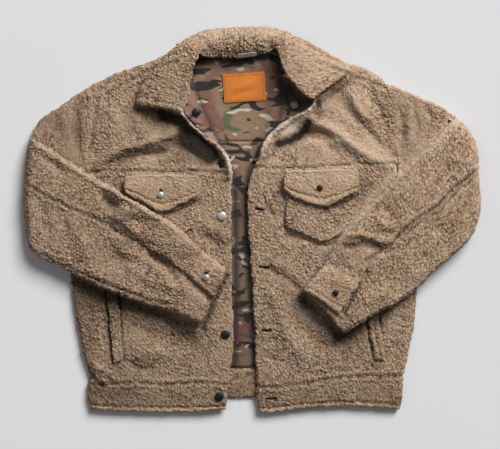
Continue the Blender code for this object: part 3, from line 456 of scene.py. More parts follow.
def smooth(value):
    """A soft step from 0 to 1."""
    value = np.clip(value, 0.0, 1.0)
    return value * value * (3 - 2 * value)


def length_between(start, end):
    return float(np.hypot(*(np.subtract(end, start))))


def along_line(points, x, y):
    """Signed distance to a line of points and the share of its length at the nearest place."""
    lengths = [length_between(a, b) for a, b in zip(points, points[1:])]
    nearest = np.full(np.shape(x), np.inf)
    share = np.zeros(np.shape(x))
    side = np.ones(np.shape(x))
    start = 0.0
    for (ax, ay), (bx, by), length in zip(points, points[1:], lengths):
        dx, dy = bx - ax, by - ay
        part = np.clip(((x - ax) * dx + (y - ay) * dy) / (dx * dx + dy * dy), 0.0, 1.0)
        away = np.hypot(x - ax - part * dx, y - ay - part * dy)
        closer = away < nearest
        share = np.where(closer, (start + part * length) / sum(lengths), share)
        side = np.where(closer, np.sign(dx * (y - ay) - dy * (x - ax)), side)
        nearest = np.where(closer, away, nearest)
        start += length
    return nearest * side, share


def bell(away, width):
    """1 in the middle, and softly to 0 on both sides of it."""
    return np.exp(-(away / width) ** 2)


def distance_to(points, x, y):
    """Distance to a line of points, or to a single one."""
    if len(points) == 1:
        return np.hypot(x - points[0][0], y - points[0][1])
    return np.abs(along_line(points, x, y)[0])


def ridges(rows, x, y):
    """The sum of soft ridges, each from its line, half width and height."""
    total = np.zeros(np.shape(x))
    for path, width, height in rows:
        total = total + height * bell(distance_to(path, x, y), width)
    return total


def neck_rise(x, y):
    rise = np.zeros(np.shape(x))
    for centre in NECK_LIFTS:
        rise = rise + NECK_HEIGHT * (1 - smooth(distance_to([centre], x, y) / NECK_REACH))
    return rise


def front_top(x, y):
    """Height of the upper face of the fronts."""
    x, y = np.asarray(x, float), np.asarray(y, float)
    sides = np.minimum(distance_to(SIDE_R, x, y), distance_to(SIDE_L, x, y))
    return FRONT_TOP + ridges(FOLDS, x, y) + neck_rise(x, y) - SIDE_DROP * (1 - smooth(sides / SIDE_ROLL))


def forearm_base(x, y):
    """Height of the underside of a forearm, over the front and its pockets."""
    x, y = np.asarray(x, float), np.asarray(y, float)
    rise = np.zeros(np.shape(x))
    for (cx, cy), (half_x, half_y), height in STACKS:
        outside = np.hypot(np.maximum(np.abs(x - cx) - half_x, 0), np.maximum(np.abs(y - cy) - half_y, 0))
        rise = np.maximum(rise, height * (1 - smooth(outside / STACK_EASE)))
    return np.maximum(ARM_HEIGHT, front_top(x, y) + rise) + FOREARM_LIFT


def crease_rise(where, x, y):
    """What the creases of one part of the jacket add to its height."""
    rise = np.zeros(np.shape(x))
    for number, (on, line, width, height, *even) in enumerate(CREASE_ROWS):
        low, high = np.min(line, axis=0) - 3.0 * width, np.max(line, axis=0) + 3.0 * width
        near = (x > low[0]) & (x < high[0]) & (y > low[1]) & (y < high[1])
        if on != where or not near.any():
            continue
        away, share = along_line(line, x[near], y[near])
        strength = 1.0
        if not even:
            uneven = np.sin(share * 9.0 + number * 1.7) * 0.18 + np.sin(share * 17.0 + number * 2.9) * 0.10
            fade = CREASE_END + (1 - CREASE_END) * np.sin(math.pi * np.clip(share, 0, 1)) ** 0.6
            strength = fade * (1 + uneven)
            away = away + width * CREASE_SWAY * np.sin(share * 7.0 + number * 2.3)
        rise[near] += height * strength * bell(away, width)
    return rise


# ---- pieces ---------------------------------------------------------------------------------
CUTS = {}                               # what each piece's cloth measures
SWAYS = ((2.6, 8.0, 11), (0.9, 3.6, 31))    # how far the curls lean: reach, size and salt
LARGE_SHARE = 0.72                      # share of the large curls in the pile, the rest is fine ones
PILE_MIDDLE = 0.55                      # share of the pile's height that lies on the cloth's face
CLUMP = 22.0                            # size of the clumps that curls stand in
CLUMP_HEIGHT = 0.5
HIDDEN_TONE = 0.55                      # how pale the hidden side of the pile is
PLAIN_TONE = 0.7                        # the same for cloth without pile
SEAM_PAINTED_SHADE = 0.42                        # how much darker a seam's valley is painted, as shade
ROW_PAINTED_LIGHT = 0.12                         # how much paler the curls beside it are painted, as light
VALLEY_WIDTH = 3.0
ROW_AWAY = 6.5                          # how far that row is from the seam
SEAM_DEPTH = 0.9                        # how far the valley sinks, and those curls rise
FLAT_TURN = 0.1                         # the flat face ends where a roll has turned by this
THIN_SHARE = 0.06                       # how thin the cloth gets at a still corner


def unit(vectors):
    return vectors / np.maximum(np.linalg.norm(vectors, axis=-1, keepdims=True), 1e-9)


def grid_normals(grid, closed):
    """Normals of a grid of points, rows by columns."""
    down = np.gradient(grid, axis=0)
    if closed:
        across = (np.roll(grid, -1, axis=1) - np.roll(grid, 1, axis=1)) / 2
    else:
        across = np.gradient(grid, axis=1)
    return unit(np.cross(down, across))


def border(count, before, after):
    """Line numbers with the steps of the rolled borders added, and the turn and radius at each."""
    turns = np.linspace(0, RIM_TURN, RIM_STEPS + 1)[1:]
    first, last = RIM_STEPS * bool(before), RIM_STEPS * bool(after)
    index = np.concatenate((np.zeros(first, int), np.arange(count), np.full(last, count - 1)))
    turn = np.concatenate((turns[::-1][:first], np.zeros(count), turns[:last]))
    radius = np.concatenate((np.full(first, float(before)), np.zeros(count), np.full(last, float(after))))
    return index, turn, radius


def rolled(grid, rims, closed):
    """The grid with its borders rolled under: points, normals, and how far round each one lies."""
    normals = grid_normals(grid, closed)
    row_at, row_turn, row_radius = border(grid.shape[0], *rims[:2])
    column_at, column_turn, column_radius = border(grid.shape[1], *((0, 0) if closed else rims[2:]))
    outward_row = unit(np.concatenate((grid[:1] - grid[1:2], grid[-1:] - grid[-2:-1])))
    outward_column = unit(np.concatenate((grid[:, :1] - grid[:, 1:2], grid[:, -1:] - grid[:, -2:-1]), axis=1))
    pick = np.ix_(row_at, column_at)
    base, normal = grid[pick], normals[pick]
    across_row = outward_row[(row_at > 0).astype(int)][:, column_at]
    across_column = outward_column[:, (column_at > 0).astype(int)][row_at]
    across_row = unit(across_row - (across_row * normal).sum(-1, keepdims=True) * normal)
    across_column = unit(across_column - (across_column * normal).sum(-1, keepdims=True) * normal)
    turn_a, turn_b = (part[..., None] for part in np.broadcast_arrays(row_turn[:, None], column_turn))
    radius_a, radius_b = (part[..., None] for part in np.broadcast_arrays(row_radius[:, None], column_radius))
    turn = np.maximum(turn_a, turn_b)
    total = np.maximum(np.hypot(turn_a, turn_b), 1e-9)
    across_row, across_column = turn_a / total * across_row, turn_b / total * across_column
    radius = (radius_a * turn_a + radius_b * turn_b) / np.maximum(turn_a + turn_b, 1e-9)
    sideways = across_row * radius_a + across_column * radius_b
    points = base + sideways * np.sin(turn) - normal * (radius * (1 - np.cos(turn)))
    leaning = unit(normal * np.cos(turn) + unit(across_row + across_column) * np.sin(turn))
    return points, np.where(turn > 0, leaning, normal), turn[..., 0]


def strip(fine, coarse, flip):
    """Triangles between two lines of points of different counts."""
    faces = []
    i = j = 0
    fine_end, coarse_end = len(fine) - 1, len(coarse) - 1
    while i < fine_end or j < coarse_end:
        if j == coarse_end or (i < fine_end and (i + 0.5) / fine_end <= (j + 0.5) / coarse_end):
            face = (fine[i], fine[i + 1], coarse[j])
            i += 1
        else:
            face = (fine[i], coarse[j + 1], coarse[j])
            j += 1
        faces.append(face[::-1] if flip else face)
    return faces


def quads(index, closed, flip):
    """Two triangles for each cell of a grid of point numbers."""
    if closed:
        index = np.concatenate((index, index[:, :1]), axis=1)
    a, b, c, d = index[:-1, :-1], index[1:, :-1], index[1:, 1:], index[:-1, 1:]
    faces = np.concatenate([np.stack(corners, axis=-1).reshape(-1, 3) for corners in ((a, b, c), (a, c, d))])
    return faces[:, ::-1] if flip else faces


def add_object(name, data):
    made = bpy.data.objects.new(name, data)
    bpy.context.scene.collection.objects.link(made)
    return made


def add_piece(name, points, faces, material, node="", values=()):
    """A mesh object from points in millimetres and triangles, with numbers stored on its points."""
    mesh = bpy.data.meshes.new(name)
    mesh.vertices.add(len(points))
    mesh.vertices.foreach_set("co", (np.asarray(points, float) * MM).astype(np.float32).ravel())
    faces = np.asarray(faces, dtype=np.int32)
    mesh.loops.add(faces.size)
    mesh.polygons.add(len(faces))
    mesh.loops.foreach_set("vertex_index", faces.ravel())
    mesh.polygons.foreach_set("loop_start", np.arange(0, faces.size, 3, dtype=np.int32))
    mesh.update(calc_edges=True)
    mesh.shade_smooth()
    for label, numbers in values:
        stored = mesh.attributes.new(label, "FLOAT", "POINT")
        stored.data.foreach_set("value", np.asarray(numbers, np.float32))
    mesh.materials.append(material)
    made = add_object(name, mesh)
    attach(made, "root")
    if node:
        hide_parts(node)
    return made


WANDER = 1.35                           # how far edges and seams wander from a clean line
WANDER_SIZE = 6.2


def wander(points):
    """A small sideways shift that every piece shares, so that neighbours stay together."""
    flat = points * (1.0, 1.0, 0.0)
    shifts = drift(flat, WANDER_SIZE, 131), drift(flat, WANDER_SIZE, 137), np.zeros(points.shape[:-1])
    return np.stack(shifts, axis=-1) * WANDER


def paint_light_and_shade(points, shading_lines):
    """How much paler the cloth is painted at each place as light, or darker below 0 as shade, holes included.
    """
    x, y = points[..., 0], points[..., 1]
    total = ridges(shading_lines, x, y)
    for hole in HOLES:
        total = total - HOLE_PAINTED_SHADE * hole_share(hole, x, y)
    return total


def seam_valley(points):
    """1 along a seam's uneven valley, and 1 along the row of curls on each side of it."""
    x, y = points[..., 0], points[..., 1]
    away = np.minimum.reduce([distance_to(row, x, y) for row in SEAM_ROWS])
    dashes = np.clip(0.6 + 0.8 * drift(points, 9.0, 151), 0.1, 1)
    return dashes * bell(away, VALLEY_WIDTH), bell(away - ROW_AWAY, VALLEY_WIDTH)


def hole_share(hole, x, y):
    """1 in a slit or eyelet and 0 outside it."""
    (centre_x, centre_y), tilt, (length, width), _ = hole
    cosine, sine = math.cos(math.radians(tilt)), math.sin(math.radians(tilt))
    along = (x - centre_x) * cosine + (y - centre_y) * sine
    up = (y - centre_y) * cosine - (x - centre_x) * sine
    return np.exp(-(along / length) ** 4 - (up / width) ** 4)


def pile_keep(points):
    """How deep the pile is at each place, 1 where nothing flattens it."""
    keep = np.ones(points.shape[:-1])
    for path, reach, share in PILE_AREAS:
        away = distance_to(path, points[..., 0], points[..., 1])
        keep = keep * (1 + (share - 1) * (1 - smooth(away / reach)))
    return keep


def pile(points, depth, smoothness):
    """Height of the pile at each place, and the same from 0 in a gap to 1 on a curl."""
    moved = points
    for reach, size, salt in SWAYS:
        moved = moved + reach * np.stack([drift(points, size, salt + axis) for axis in range(3)], axis=-1)
    keep = np.clip(pile_keep(points) * (1 + 0.35 * drift(points, 34.0, 61)), 0.1, 1.5) * smoothness
    shape = curls(moved, CURL, 3) * LARGE_SHARE + curls(moved + 40.0, FINE_CURL, 5) * (1 - LARGE_SHARE)
    height = depth * keep * (shape - PILE_MIDDLE) + CLUMP_HEIGHT * drift(points, CLUMP, 71)
    tone = np.clip(0.5 + (shape - 0.5) * (0.35 + 0.65 * np.clip(keep, 0, 1.2)) + 0.12 * (1 - keep), 0, 1)
    return height, tone


def coarse_steps(count, step, closed=False):
    """Every so many numbers below the count, and the last one unless the row closes."""
    numbers = np.arange(0, count, step)
    return numbers if closed else np.unique(np.append(numbers, count - 1))


def piled(points, normals, turn, depth, smoothness, steady):
    """The outer face with pile on it: its points, and the tone and the painted light and shade at each."""
    height, tone = pile(points, depth, smoothness)
    valley, row = seam_valley(points)
    painted_shading = np.clip(paint_light_and_shade(points, PILE_PAINTED_LIGHT) - SEAM_PAINTED_SHADE * valley + ROW_PAINTED_LIGHT * row, -1, 1)
    height = height - SEAM_DEPTH * valley + SEAM_DEPTH * row * (turn < FLAT_TURN)
    for hole in HOLES:
        height = height - hole[-1] * hole_share(hole, points[..., 0], points[..., 1])
    if steady is not None:
        height = height * steady(points)
    return points + normals * height[..., None] + wander(points), tone, painted_shading


def inner_face(grid, thickness, closed, coarse, steady):
    """The hidden face: a coarser grid, the thickness of the cloth below the outer one."""
    pick = np.ix_(coarse_steps(grid.shape[0], coarse), coarse_steps(grid.shape[1], coarse, closed))
    if steady is not None:
        thickness = (thickness * (THIN_SHARE + (1 - THIN_SHARE) * steady(grid)))[pick][..., None]
    return grid[pick] - grid_normals(grid, closed)[pick] * thickness


def shell_faces(outer, hidden, closed):
    """Triangles of both faces and of the sides between them, from the numbers of their points."""
    sides = [(outer[0], hidden[0], False), (outer[-1], hidden[-1], True)]
    if closed:
        sides = [(np.append(fine, fine[0]), np.append(few, few[0]), flip) for fine, few, flip in sides]
    else:
        sides += [(outer[:, 0], hidden[:, 0], True), (outer[:, -1], hidden[:, -1], False)]
    faces = [quads(outer, closed, False), quads(hidden, closed, True)]
    return np.concatenate(faces + [np.array(strip(*side)) for side in sides])


def shell(name, grid, thickness, material, held="", rests_on=(), rims=(0, 0, 0, 0), closed=False,
          depth=CURL_HEIGHT, smoothness=1.0, slot="sherpa_tan", coarse=COARSE, floor=0.4, steady=None,
          shading_lines=()):
    """A closed piece of cloth for a solid: its outer face is the grid, with pile and rolled borders."""
    points, normals, turn = rolled(grid, rims, closed)
    CUTS[name + "_cloth"] = cut_size(np.concatenate((points, points[:, :1]), axis=1) if closed else points)
    painted_shading, tone = np.zeros(turn.shape), np.full(turn.shape, PLAIN_TONE)
    if depth:
        points, tone, painted_shading = piled(points, normals, turn, depth, smoothness, steady)
    # cloth without pile gets only the painted light and shade of its lines
    elif shading_lines:
        painted_shading = np.clip(paint_light_and_shade(points, shading_lines), -1, 1)
    inner = inner_face(grid, thickness, closed, coarse, steady)
    for face in (points, inner):
        face[..., 2] = np.maximum(face[..., 2], floor)
    outer = np.arange(painted_shading.size).reshape(painted_shading.shape)
    hidden = outer.size + np.arange(inner[..., 0].size).reshape(inner.shape[:2])
    every_point = np.concatenate((points.reshape(-1, 3), inner.reshape(-1, 3)))
    values = [("pile", np.append(tone, np.full(hidden.size, HIDDEN_TONE))),
              ("painted_shading", np.append(painted_shading, np.zeros(hidden.size)))]
    faces = shell_faces(outer, hidden, closed)
    made = add_piece(name + "_cloth", every_point, faces, material, name, values)
    if held:
        declare(made, rests_on)
    return made


SEAM_CLOSE = 2.2                        # how far two rolled seams press into each other


def spaced(length, start, end, cell=CELL):
    """Shares of a length, a cell apart, that leave out what the rolled borders take."""
    start, end = (rim - SEAM_CLOSE if rim == SEAM else rim for rim in (start, end))
    count = max(2, int(round((length - start - end) / cell)))
    return np.linspace(start / length, 1 - end / length, count + 1)


def panel_grid(top, bottom, left, right, rims, height, cell=CELL):
    """The upper face of a panel inside four edges, at the height that the rule gives."""
    plan = patch(top, bottom, left, right)
    rims = [rim - SEAM_CLOSE if rim == SEAM else rim for rim in rims]
    wide = length_between(plan(0.0, 0.5), plan(1.0, 0.5)) - rims[2] - rims[3]
    tall = length_between(plan(0.5, 0.0), plan(0.5, 1.0)) - rims[0] - rims[1]
    across, down = np.meshgrid(np.linspace(0, 1, max(2, int(round(wide / cell))) + 1),
                               np.linspace(0, 1, max(2, int(round(tall / cell))) + 1))
    row_length = np.hypot(*np.moveaxis(plan(1.0, down) - plan(0.0, down), -1, 0))
    column_length = np.hypot(*np.moveaxis(plan(across, 1.0) - plan(across, 0.0), -1, 0))
    across, down = (rims[2] / row_length + across * (1 - (rims[2] + rims[3]) / row_length),
                    rims[0] / column_length + down * (1 - (rims[0] + rims[1]) / column_length))
    places = plan(across, down)
    return np.concatenate((places, height(places[..., 0], places[..., 1], across, down)[..., None]), axis=-1)


def cut_size(points):
    """Width, length and area of the cloth that a grid takes before its pile, in metres."""
    down, across = np.diff(points, axis=0), np.diff(points, axis=1)
    area = np.linalg.norm(np.cross(down[:, :-1], across[:-1]), axis=-1).sum() * MM * MM
    width = np.linalg.norm(across, axis=-1).sum(axis=1).max() * MM
    length = np.linalg.norm(down, axis=-1).sum(axis=0).max() * MM
    return float(width), float(length), float(area)


def declare(made, rests_on=(), with_pieces=()):
    """Reads the cut of a piece, what its own cloth measures laid out flat, and rounds it; nothing is done
    with it.
    """
    width, length, area = CUTS[made.name]
    width, length = round(width, 3), round(length, 3)
    list(rests_on)


# ---- materials ------------------------------------------------------------------------------
class Nodes:
    """A short way to write a node tree."""

    def __init__(self, name, roughness=0.9, metallic=0.0, sheen=0.0, specular=0.5):
        self.material = bpy.data.materials.new(name)
        self.material.use_nodes = True
        self.tree = self.material.node_tree
        self.shader = self.tree.nodes["Principled BSDF"]
        for socket, value in (("Roughness", roughness), ("Metallic", metallic), ("Sheen Weight", sheen),
                              ("Sheen Roughness", 0.6), ("Sheen Tint", (0.95, 0.84, 0.72)),
                              ("Specular IOR Level", specular)):
            self.put(self.shader.inputs[socket], value)

    def put(self, socket, value):
        """Links the socket to another node's output, or sets it to a number, a vector or a colour."""
        if hasattr(value, "links"):
            self.tree.links.new(value, socket)
        elif hasattr(value, "__len__") and len(value) < len(socket.default_value):
            socket.default_value = (*value, 1)
        else:
            socket.default_value = value

    def add(self, kind, **inputs):
        made = self.tree.nodes.new("ShaderNode" + kind)
        for name, value in inputs.items():
            self.put(made.inputs[name], value)
        return made

    def coordinates(self, scale=(1, 1, 1), turn=0.0):
        """Places on the object in metres, stretched by the scale and turned in degrees."""
        source = self.add("TexCoord").outputs["Object"]
        turns = (0, 0, math.radians(turn))
        return self.add("Mapping", Vector=source, Scale=scale, Rotation=turns).outputs["Vector"]

    def noise(self, vector, scale, detail=2.0, distortion=0.0, roughness=0.5):
        return self.add("TexNoise", Vector=vector, Scale=scale, Detail=detail, Distortion=distortion,
                        Roughness=roughness).outputs["Fac"]

    def wave(self, direction, scale):
        """Fine straight ribs, as threads."""
        made = self.add("TexWave", Scale=scale, Distortion=0.4, Vector=self.coordinates())
        made.bands_direction = direction
        return made.outputs["Fac"]

    def ramp(self, factor, *stops):
        made = self.add("ValToRGB", Fac=factor)
        elements = made.color_ramp.elements
        while len(elements) < len(stops):
            elements.new(0.5)
        for element, (place, colour) in zip(elements, stops):
            element.position = place
            element.color = (*colour, 1) if hasattr(colour, "__len__") else (colour, colour, colour, 1)
        return made.outputs["Color"]

    def mix(self, factor, first, second, blend="MIX"):
        made = self.add("Mix")
        made.data_type, made.blend_type = "RGBA", blend
        for number, value in ((0, factor), (6, first), (7, second)):
            self.put(made.inputs[number], value)
        return made.outputs[2]

    def tinted(self, colour, tint):
        return self.mix(1.0, colour, tint, "MULTIPLY")

    def maths(self, operation, first, second=0.0, clamp=False):
        made = self.add("Math")
        made.operation, made.use_clamp = operation, clamp
        self.put(made.inputs[0], first)
        self.put(made.inputs[1], second)
        return made.outputs[0]

    def times(self, first, second, clamp=False):
        return self.maths("MULTIPLY", first, second, clamp)

    def attribute(self, name):
        made = self.add("Attribute")
        made.attribute_name = name
        return made.outputs["Fac"]

    def bump(self, height, strength, distance, **under):
        made = self.add("Bump", Height=height, Strength=strength, Distance=distance, **under)
        return made.outputs["Normal"]

    def finish(self, colour, normal):
        self.put(self.shader.inputs["Base Color"], colour)
        self.put(self.shader.inputs["Normal"], normal)
        return self.material


def linear(red, green, blue):
    """A colour as a screen shows it, from 0 to 255, in the linear numbers that materials hold."""
    return tuple(((value / 255 + 0.055) / 1.055) ** 2.4 for value in (red, green, blue))


# Pile colours: the gap colour is painted shade between the curls, the tip colour painted light on their tops.
GAP_PAINTED_SHADE = linear(50, 34, 24)
CURL_SHADE = linear(124, 99, 78)
CURL_TAN = linear(161, 137, 114)
# painted light and painted shade, which the painted shading of each place mixes into the pile
CURL_PAINTED_LIGHT = linear(202, 188, 168)
CURL_PAINTED_SHADE = linear(31, 23, 18)
CURL_TIP = linear(186, 168, 149)


def sherpa_material(name, warmth=1.0):
    """Curly pile: painted shade in its gaps and painted light on its tips, with a finer nap on each curl."""
    nodes = Nodes(name, roughness=1.0, sheen=0.12, specular=0.12)
    places = nodes.coordinates()
    fibres = nodes.noise(places, 900.0, detail=3.0, distortion=0.8)
    broken = nodes.times(nodes.maths("SUBTRACT", fibres, 0.5), 0.35)
    tone = nodes.maths("ADD", nodes.attribute("pile"), broken, clamp=True)
    # painted shade in the gaps between curls and painted light on their tips, by the curls' height
    colour = nodes.ramp(tone, (0.04, GAP_PAINTED_SHADE), (0.27, CURL_SHADE), (0.52, CURL_TAN), (1.0, CURL_TIP))
    # painted light above 0 and painted shade below 0, from the painted shading stored on the points
    painted_shading = nodes.attribute("painted_shading")
    colour = nodes.mix(nodes.times(painted_shading, 0.75, clamp=True), colour, CURL_PAINTED_LIGHT)
    colour = nodes.mix(nodes.times(painted_shading, -0.97, clamp=True), colour, CURL_PAINTED_SHADE)
    patches = nodes.noise(places, 22.0, detail=3.0)
    tint = nodes.ramp(patches, (0.30, (0.90, 0.865, 0.83)), (0.52, (1.0, 0.99, 0.98)), (0.72, 1.0))
    colour = nodes.tinted(colour, tint)
    if warmth != 1.0:
        colour = nodes.tinted(colour, (warmth, warmth * 0.98, warmth * 0.95))
    curl = nodes.noise(places, 420.0, detail=4.0, distortion=1.4, roughness=0.62)
    return nodes.finish(colour, nodes.bump(fibres, 0.35, 0.0005, Normal=nodes.bump(curl, 0.55, 0.0012)))


CAMO_TAN = linear(166, 134, 104)
CAMO_PINK = linear(152, 100, 85)
CAMO_GREEN = linear(86, 110, 68)
CAMO_OLIVE = linear(104, 97, 66)
CAMO_BROWN = linear(48, 31, 26)
CAMO_BLACK = linear(20, 17, 17)
CAMO_CREAM = linear(236, 226, 202)
# What lies on the ground of the camouflage: stretch and turn in degrees, the noise's scale,
# detail, distortion and roughness, the stops of the mask that it makes, and the colour.
CAMO_LAYERS = (
    ((0.55, 1.25, 0.6), -9, (21.0, 2.0, 0.9, 0.5), ((0.585, 0.0), (0.61, 0.92)), CAMO_GREEN),
    ((0.55, 1.25, 0.6), -9, (26.0, 1.5, 1.4, 0.4), ((0.30, 0.9), (0.335, 0.9), (0.36, 0.0)), CAMO_PINK),
    ((0.62, 1.35, 0.6), 14, (44.0, 1.0, 0.6, 0.35), ((0.578, 0.0), (0.590, 1.0)), CAMO_BROWN),
    ((0.62, 1.35, 0.6), 14, (44.0, 1.0, 0.6, 0.35), ((0.620, 0.0), (0.632, 1.0)), CAMO_BLACK),
    ((1.0, 1.7, 0.6), 30, (52.0, 0.0, 0.0, 0.5), ((0.715, 0.0), (0.728, 0.9)), CAMO_CREAM),
)


def camouflage_material(name, shade):
    """Generic woodland camouflage printed on a smooth plain weave."""
    nodes = Nodes(name, roughness=0.62, sheen=0.1, specular=0.4)
    flat = nodes.coordinates(scale=(1.0, 1.0, 0.5))
    ground = nodes.noise(flat, 9.0, detail=1.0, distortion=0.6)
    colour = nodes.ramp(ground, (0.40, CAMO_PINK), (0.50, CAMO_TAN), (0.57, CAMO_TAN), (0.66, CAMO_OLIVE))
    for stretch, turn, noise, stops, printed in CAMO_LAYERS:
        mask = nodes.ramp(nodes.noise(nodes.coordinates(stretch, turn), *noise), *stops)
        colour = nodes.mix(mask, colour, printed)
    fading = nodes.noise(flat, 60.0, detail=4.0)
    colour = nodes.tinted(colour, nodes.ramp(fading, (0.3, 0.86 * shade), (0.7, 1.0 * shade)))
    # painted shade: towards black where the painted shading is below 0
    colour = nodes.mix(nodes.times(nodes.attribute("painted_shading"), -0.95, clamp=True), colour, CAMO_BLACK)
    weave = nodes.times(nodes.wave("X", 1500.0), nodes.wave("Y", 1500.0))
    wrinkle = nodes.bump(nodes.noise(flat, 36.0, detail=3.0, distortion=0.8), 0.5, 0.004)
    return nodes.finish(colour, nodes.bump(weave, 0.25, 0.0002, Normal=wrinkle))


def cloth_material(name, colour, threads):
    """Plain woven tape or label cloth."""
    nodes = Nodes(name, roughness=0.75, sheen=0.15, specular=0.3)
    patches = nodes.noise(nodes.coordinates(), 70.0, detail=4.0)
    ribs = nodes.times(nodes.wave("X", threads), nodes.wave("Y", threads))
    worn, woven = nodes.ramp(patches, (0.3, 0.86), (0.7, 1.0)), nodes.ramp(ribs, (0.0, 0.86), (0.6, 1.0))
    tinted = nodes.tinted(colour, nodes.mix(0.5, worn, woven))
    return nodes.finish(tinted, nodes.bump(ribs, 0.4, 0.0003))


def metal_material(name, colour, roughness, metallic):
    """A snap cap: brushed fine and a little worn."""
    nodes = Nodes(name, roughness, metallic)
    wear = nodes.noise(nodes.coordinates(), 260.0, detail=5.0, roughness=0.65)
    worn = nodes.tinted(colour, nodes.ramp(wear, (0.30, 0.72), (0.55, 1.0), (0.75, 1.25)))
    uneven = nodes.maths("ADD", nodes.times(wear, 0.30), roughness - 0.12, clamp=True)
    nodes.put(nodes.shader.inputs["Roughness"], uneven)
    return nodes.finish(worn, nodes.bump(wear, 0.15, 0.0003))


SHERPA_CLOTH = sherpa_material("sherpa_tan")
SHERPA_NAPPED = sherpa_material("sherpa_tan_napped", 1.06)
SHERPA_INSIDE = sherpa_material("sherpa_back", 0.92)
CAMOUFLAGE = camouflage_material("camouflage", 0.60)
# the facings' copy is darker: painted shade for the neck hollow that they lie in
CAMOUFLAGE_SHADED = camouflage_material("camouflage_facing_shaded", 0.55)
LABEL_CLOTH = cloth_material("label_orange", linear(197, 112, 35), 1100.0)
LABEL_THREAD = cloth_material("label_thread", linear(196, 98, 22), 2200.0)
TAPE = cloth_material("tape_cream", linear(214, 210, 190), 1200.0)
BLACK_METAL = metal_material("metal_black", linear(34, 34, 37), 0.42, 0.55)
NICKEL = metal_material("metal_nickel", linear(198, 198, 196), 0.46, 0.75)
# a dim copy of the nickel: painted shade for the snap that lies deep in the neck
NICKEL_SHADED = metal_material("metal_nickel_shaded", linear(112, 107, 106), 0.55, 0.5)


# ---- body ------------------------------------------------------------------------------------
FRONT_LOWEST = 12.4                     # the hollows of the fronts end above the lining


def over_fronts(extra):
    def height(x, y, across, down):
        return np.maximum(front_top(x, y) + crease_rise("body", x, y), FRONT_LOWEST) + extra
    return height


def level(top):
    def height(x, y, across, down):
        return np.full(np.shape(x), float(top))
    return height


BACK_SIDE_R = [(-287, 224), (-284, 188), (-291, 133), (-289, 86), (-298, 25), (-306, -29), (-314, -75),
               (-313, -106), (-308, -143), (-298, -210), (-282, -287)]
BACK_SIDE_L = [(220, 243), (242, 203), (247, 175), (244, 149), (248, 98), (257, 42), (274, -12),
               (285, -75), (285, -124), (279, -185), (268, -241), (261, -274)]
BACK_WAIST_SEAM = [(-282, -287), (-161, -276), (-35, -264), (9, -264), (136, -269), (261, -274)]
BACK_TOP = [(-287, 224), (-231, 248), (-147, 280), (-86, 300), (-12, 303), (49, 305), (116, 281), (172, 262),
            (220, 243)]
BACK_HEM = [(-276, -329), (-161, -320), (-35, -314), (10, -314), (136, -318), (254, -323)]
BACK_CELL = 5.0
# Name, the four edges, height, mesh spacing, depth of the pile and rolls.
BACK_PANELS = (
    ("back", (BACK_TOP, BACK_WAIST_SEAM, BACK_SIDE_R, BACK_SIDE_L), BACK_SHERPA, BACK_CELL, 1.6,
     (3.2, 0, 3.2, 3.2)),
    ("waistband_back", (BACK_WAIST_SEAM, BACK_HEM, STRAIGHT, STRAIGHT), BACK_WAIST + 0.6, CELL * 1.4, 2.2,
     (SEAM, 3.6, 3.6, 3.6)),
)


def make_body():
    for name, *edges, rims in PANELS:
        grid = panel_grid(*edges, rims, over_fronts(0.0))
        shell(name, grid, SHERPA, SHERPA_CLOTH, "laid", ["back"], rims)
    for name, edges, height, cell, depth, rims in BACK_PANELS:
        grid = panel_grid(*edges, rims, level(height - 0.4), cell)
        shell(name, grid, height - 0.8, SHERPA_INSIDE, "laid", rims=rims, depth=depth, slot="sherpa_back",
              floor=0.0)


# ---- lining, facings, label ----------------------------------------------------------------
LINING_CELL = 3.6
LINING_SEAM = [(-262, 137), (-9, 137), (226, 137)]
# Name, mesh spacing, and the top, bottom, left and right edge.
LININGS = (
    ("lining_neck", LINING_CELL, [(-133, 273), (-82, 285), (-12, 289), (49, 287), (98, 275)], LINING_SEAM,
     [(-133, 273), (-259, 191), (-262, 137)], [(98, 275), (210, 191), (226, 137)]),
    ("lining_back", LINING_CELL * 1.3, LINING_SEAM, [(-266, -260), (-9, -260), (245, -260)],
     [(-262, 137), (-280, -19), (-287, -106), (-266, -260)],
     [(226, 137), (254, -19), (262, -106), (245, -260)]),
)
# Painted shade where the lining lies in the dark beside thicker pieces: a line, its reach and the gain.
LINING_PAINTED_SHADE = (
    ([(-124, 188), (-128, 216), (-121, 251), (-105, 277), (-86, 283), (-21, 279), (42, 286), (47, 272),
      (51, 237), (56, 209), (79, 191), (102, 188)], 5.0, -1.0),
    ([(-119, 244), (-114, 268), (-98, 279)], 11, -0.7),
    ([(-121, 184), (-86, 144), (-58, 121), (-38, 90), (-30, 42), (-28, -141), (-32, -290)], 6, -0.8),
    ([(103, 195), (66, 172), (32, 144), (10, 116), (-5, 86), (-12, 42), (-9, -54), (0, -194),
      (5, -290)], 5, -0.8),
    ([(-105, 244), (-91, 208), (-63, 146), (-51, 125)], 3.0, -0.7),
    ([(51, 244), (52, 202), (46, 170), (26, 149), (10, 125)], 3.5, -0.7),
    ([(-23, 77), (-18, -36), (-14, -264)], 24, -0.24),
    ([(28, 268), (32, 209), (28, 153)], 9, -0.3),
    ([(63, 230), (80, 209), (94, 198)], 13, -0.75),
)
NECK_SEAM_Y = 279                       # where the lining is gathered
GATHER_DEPTH = 26.0
GATHER_FOLD = 8.0
GATHER_RISE = 1.5


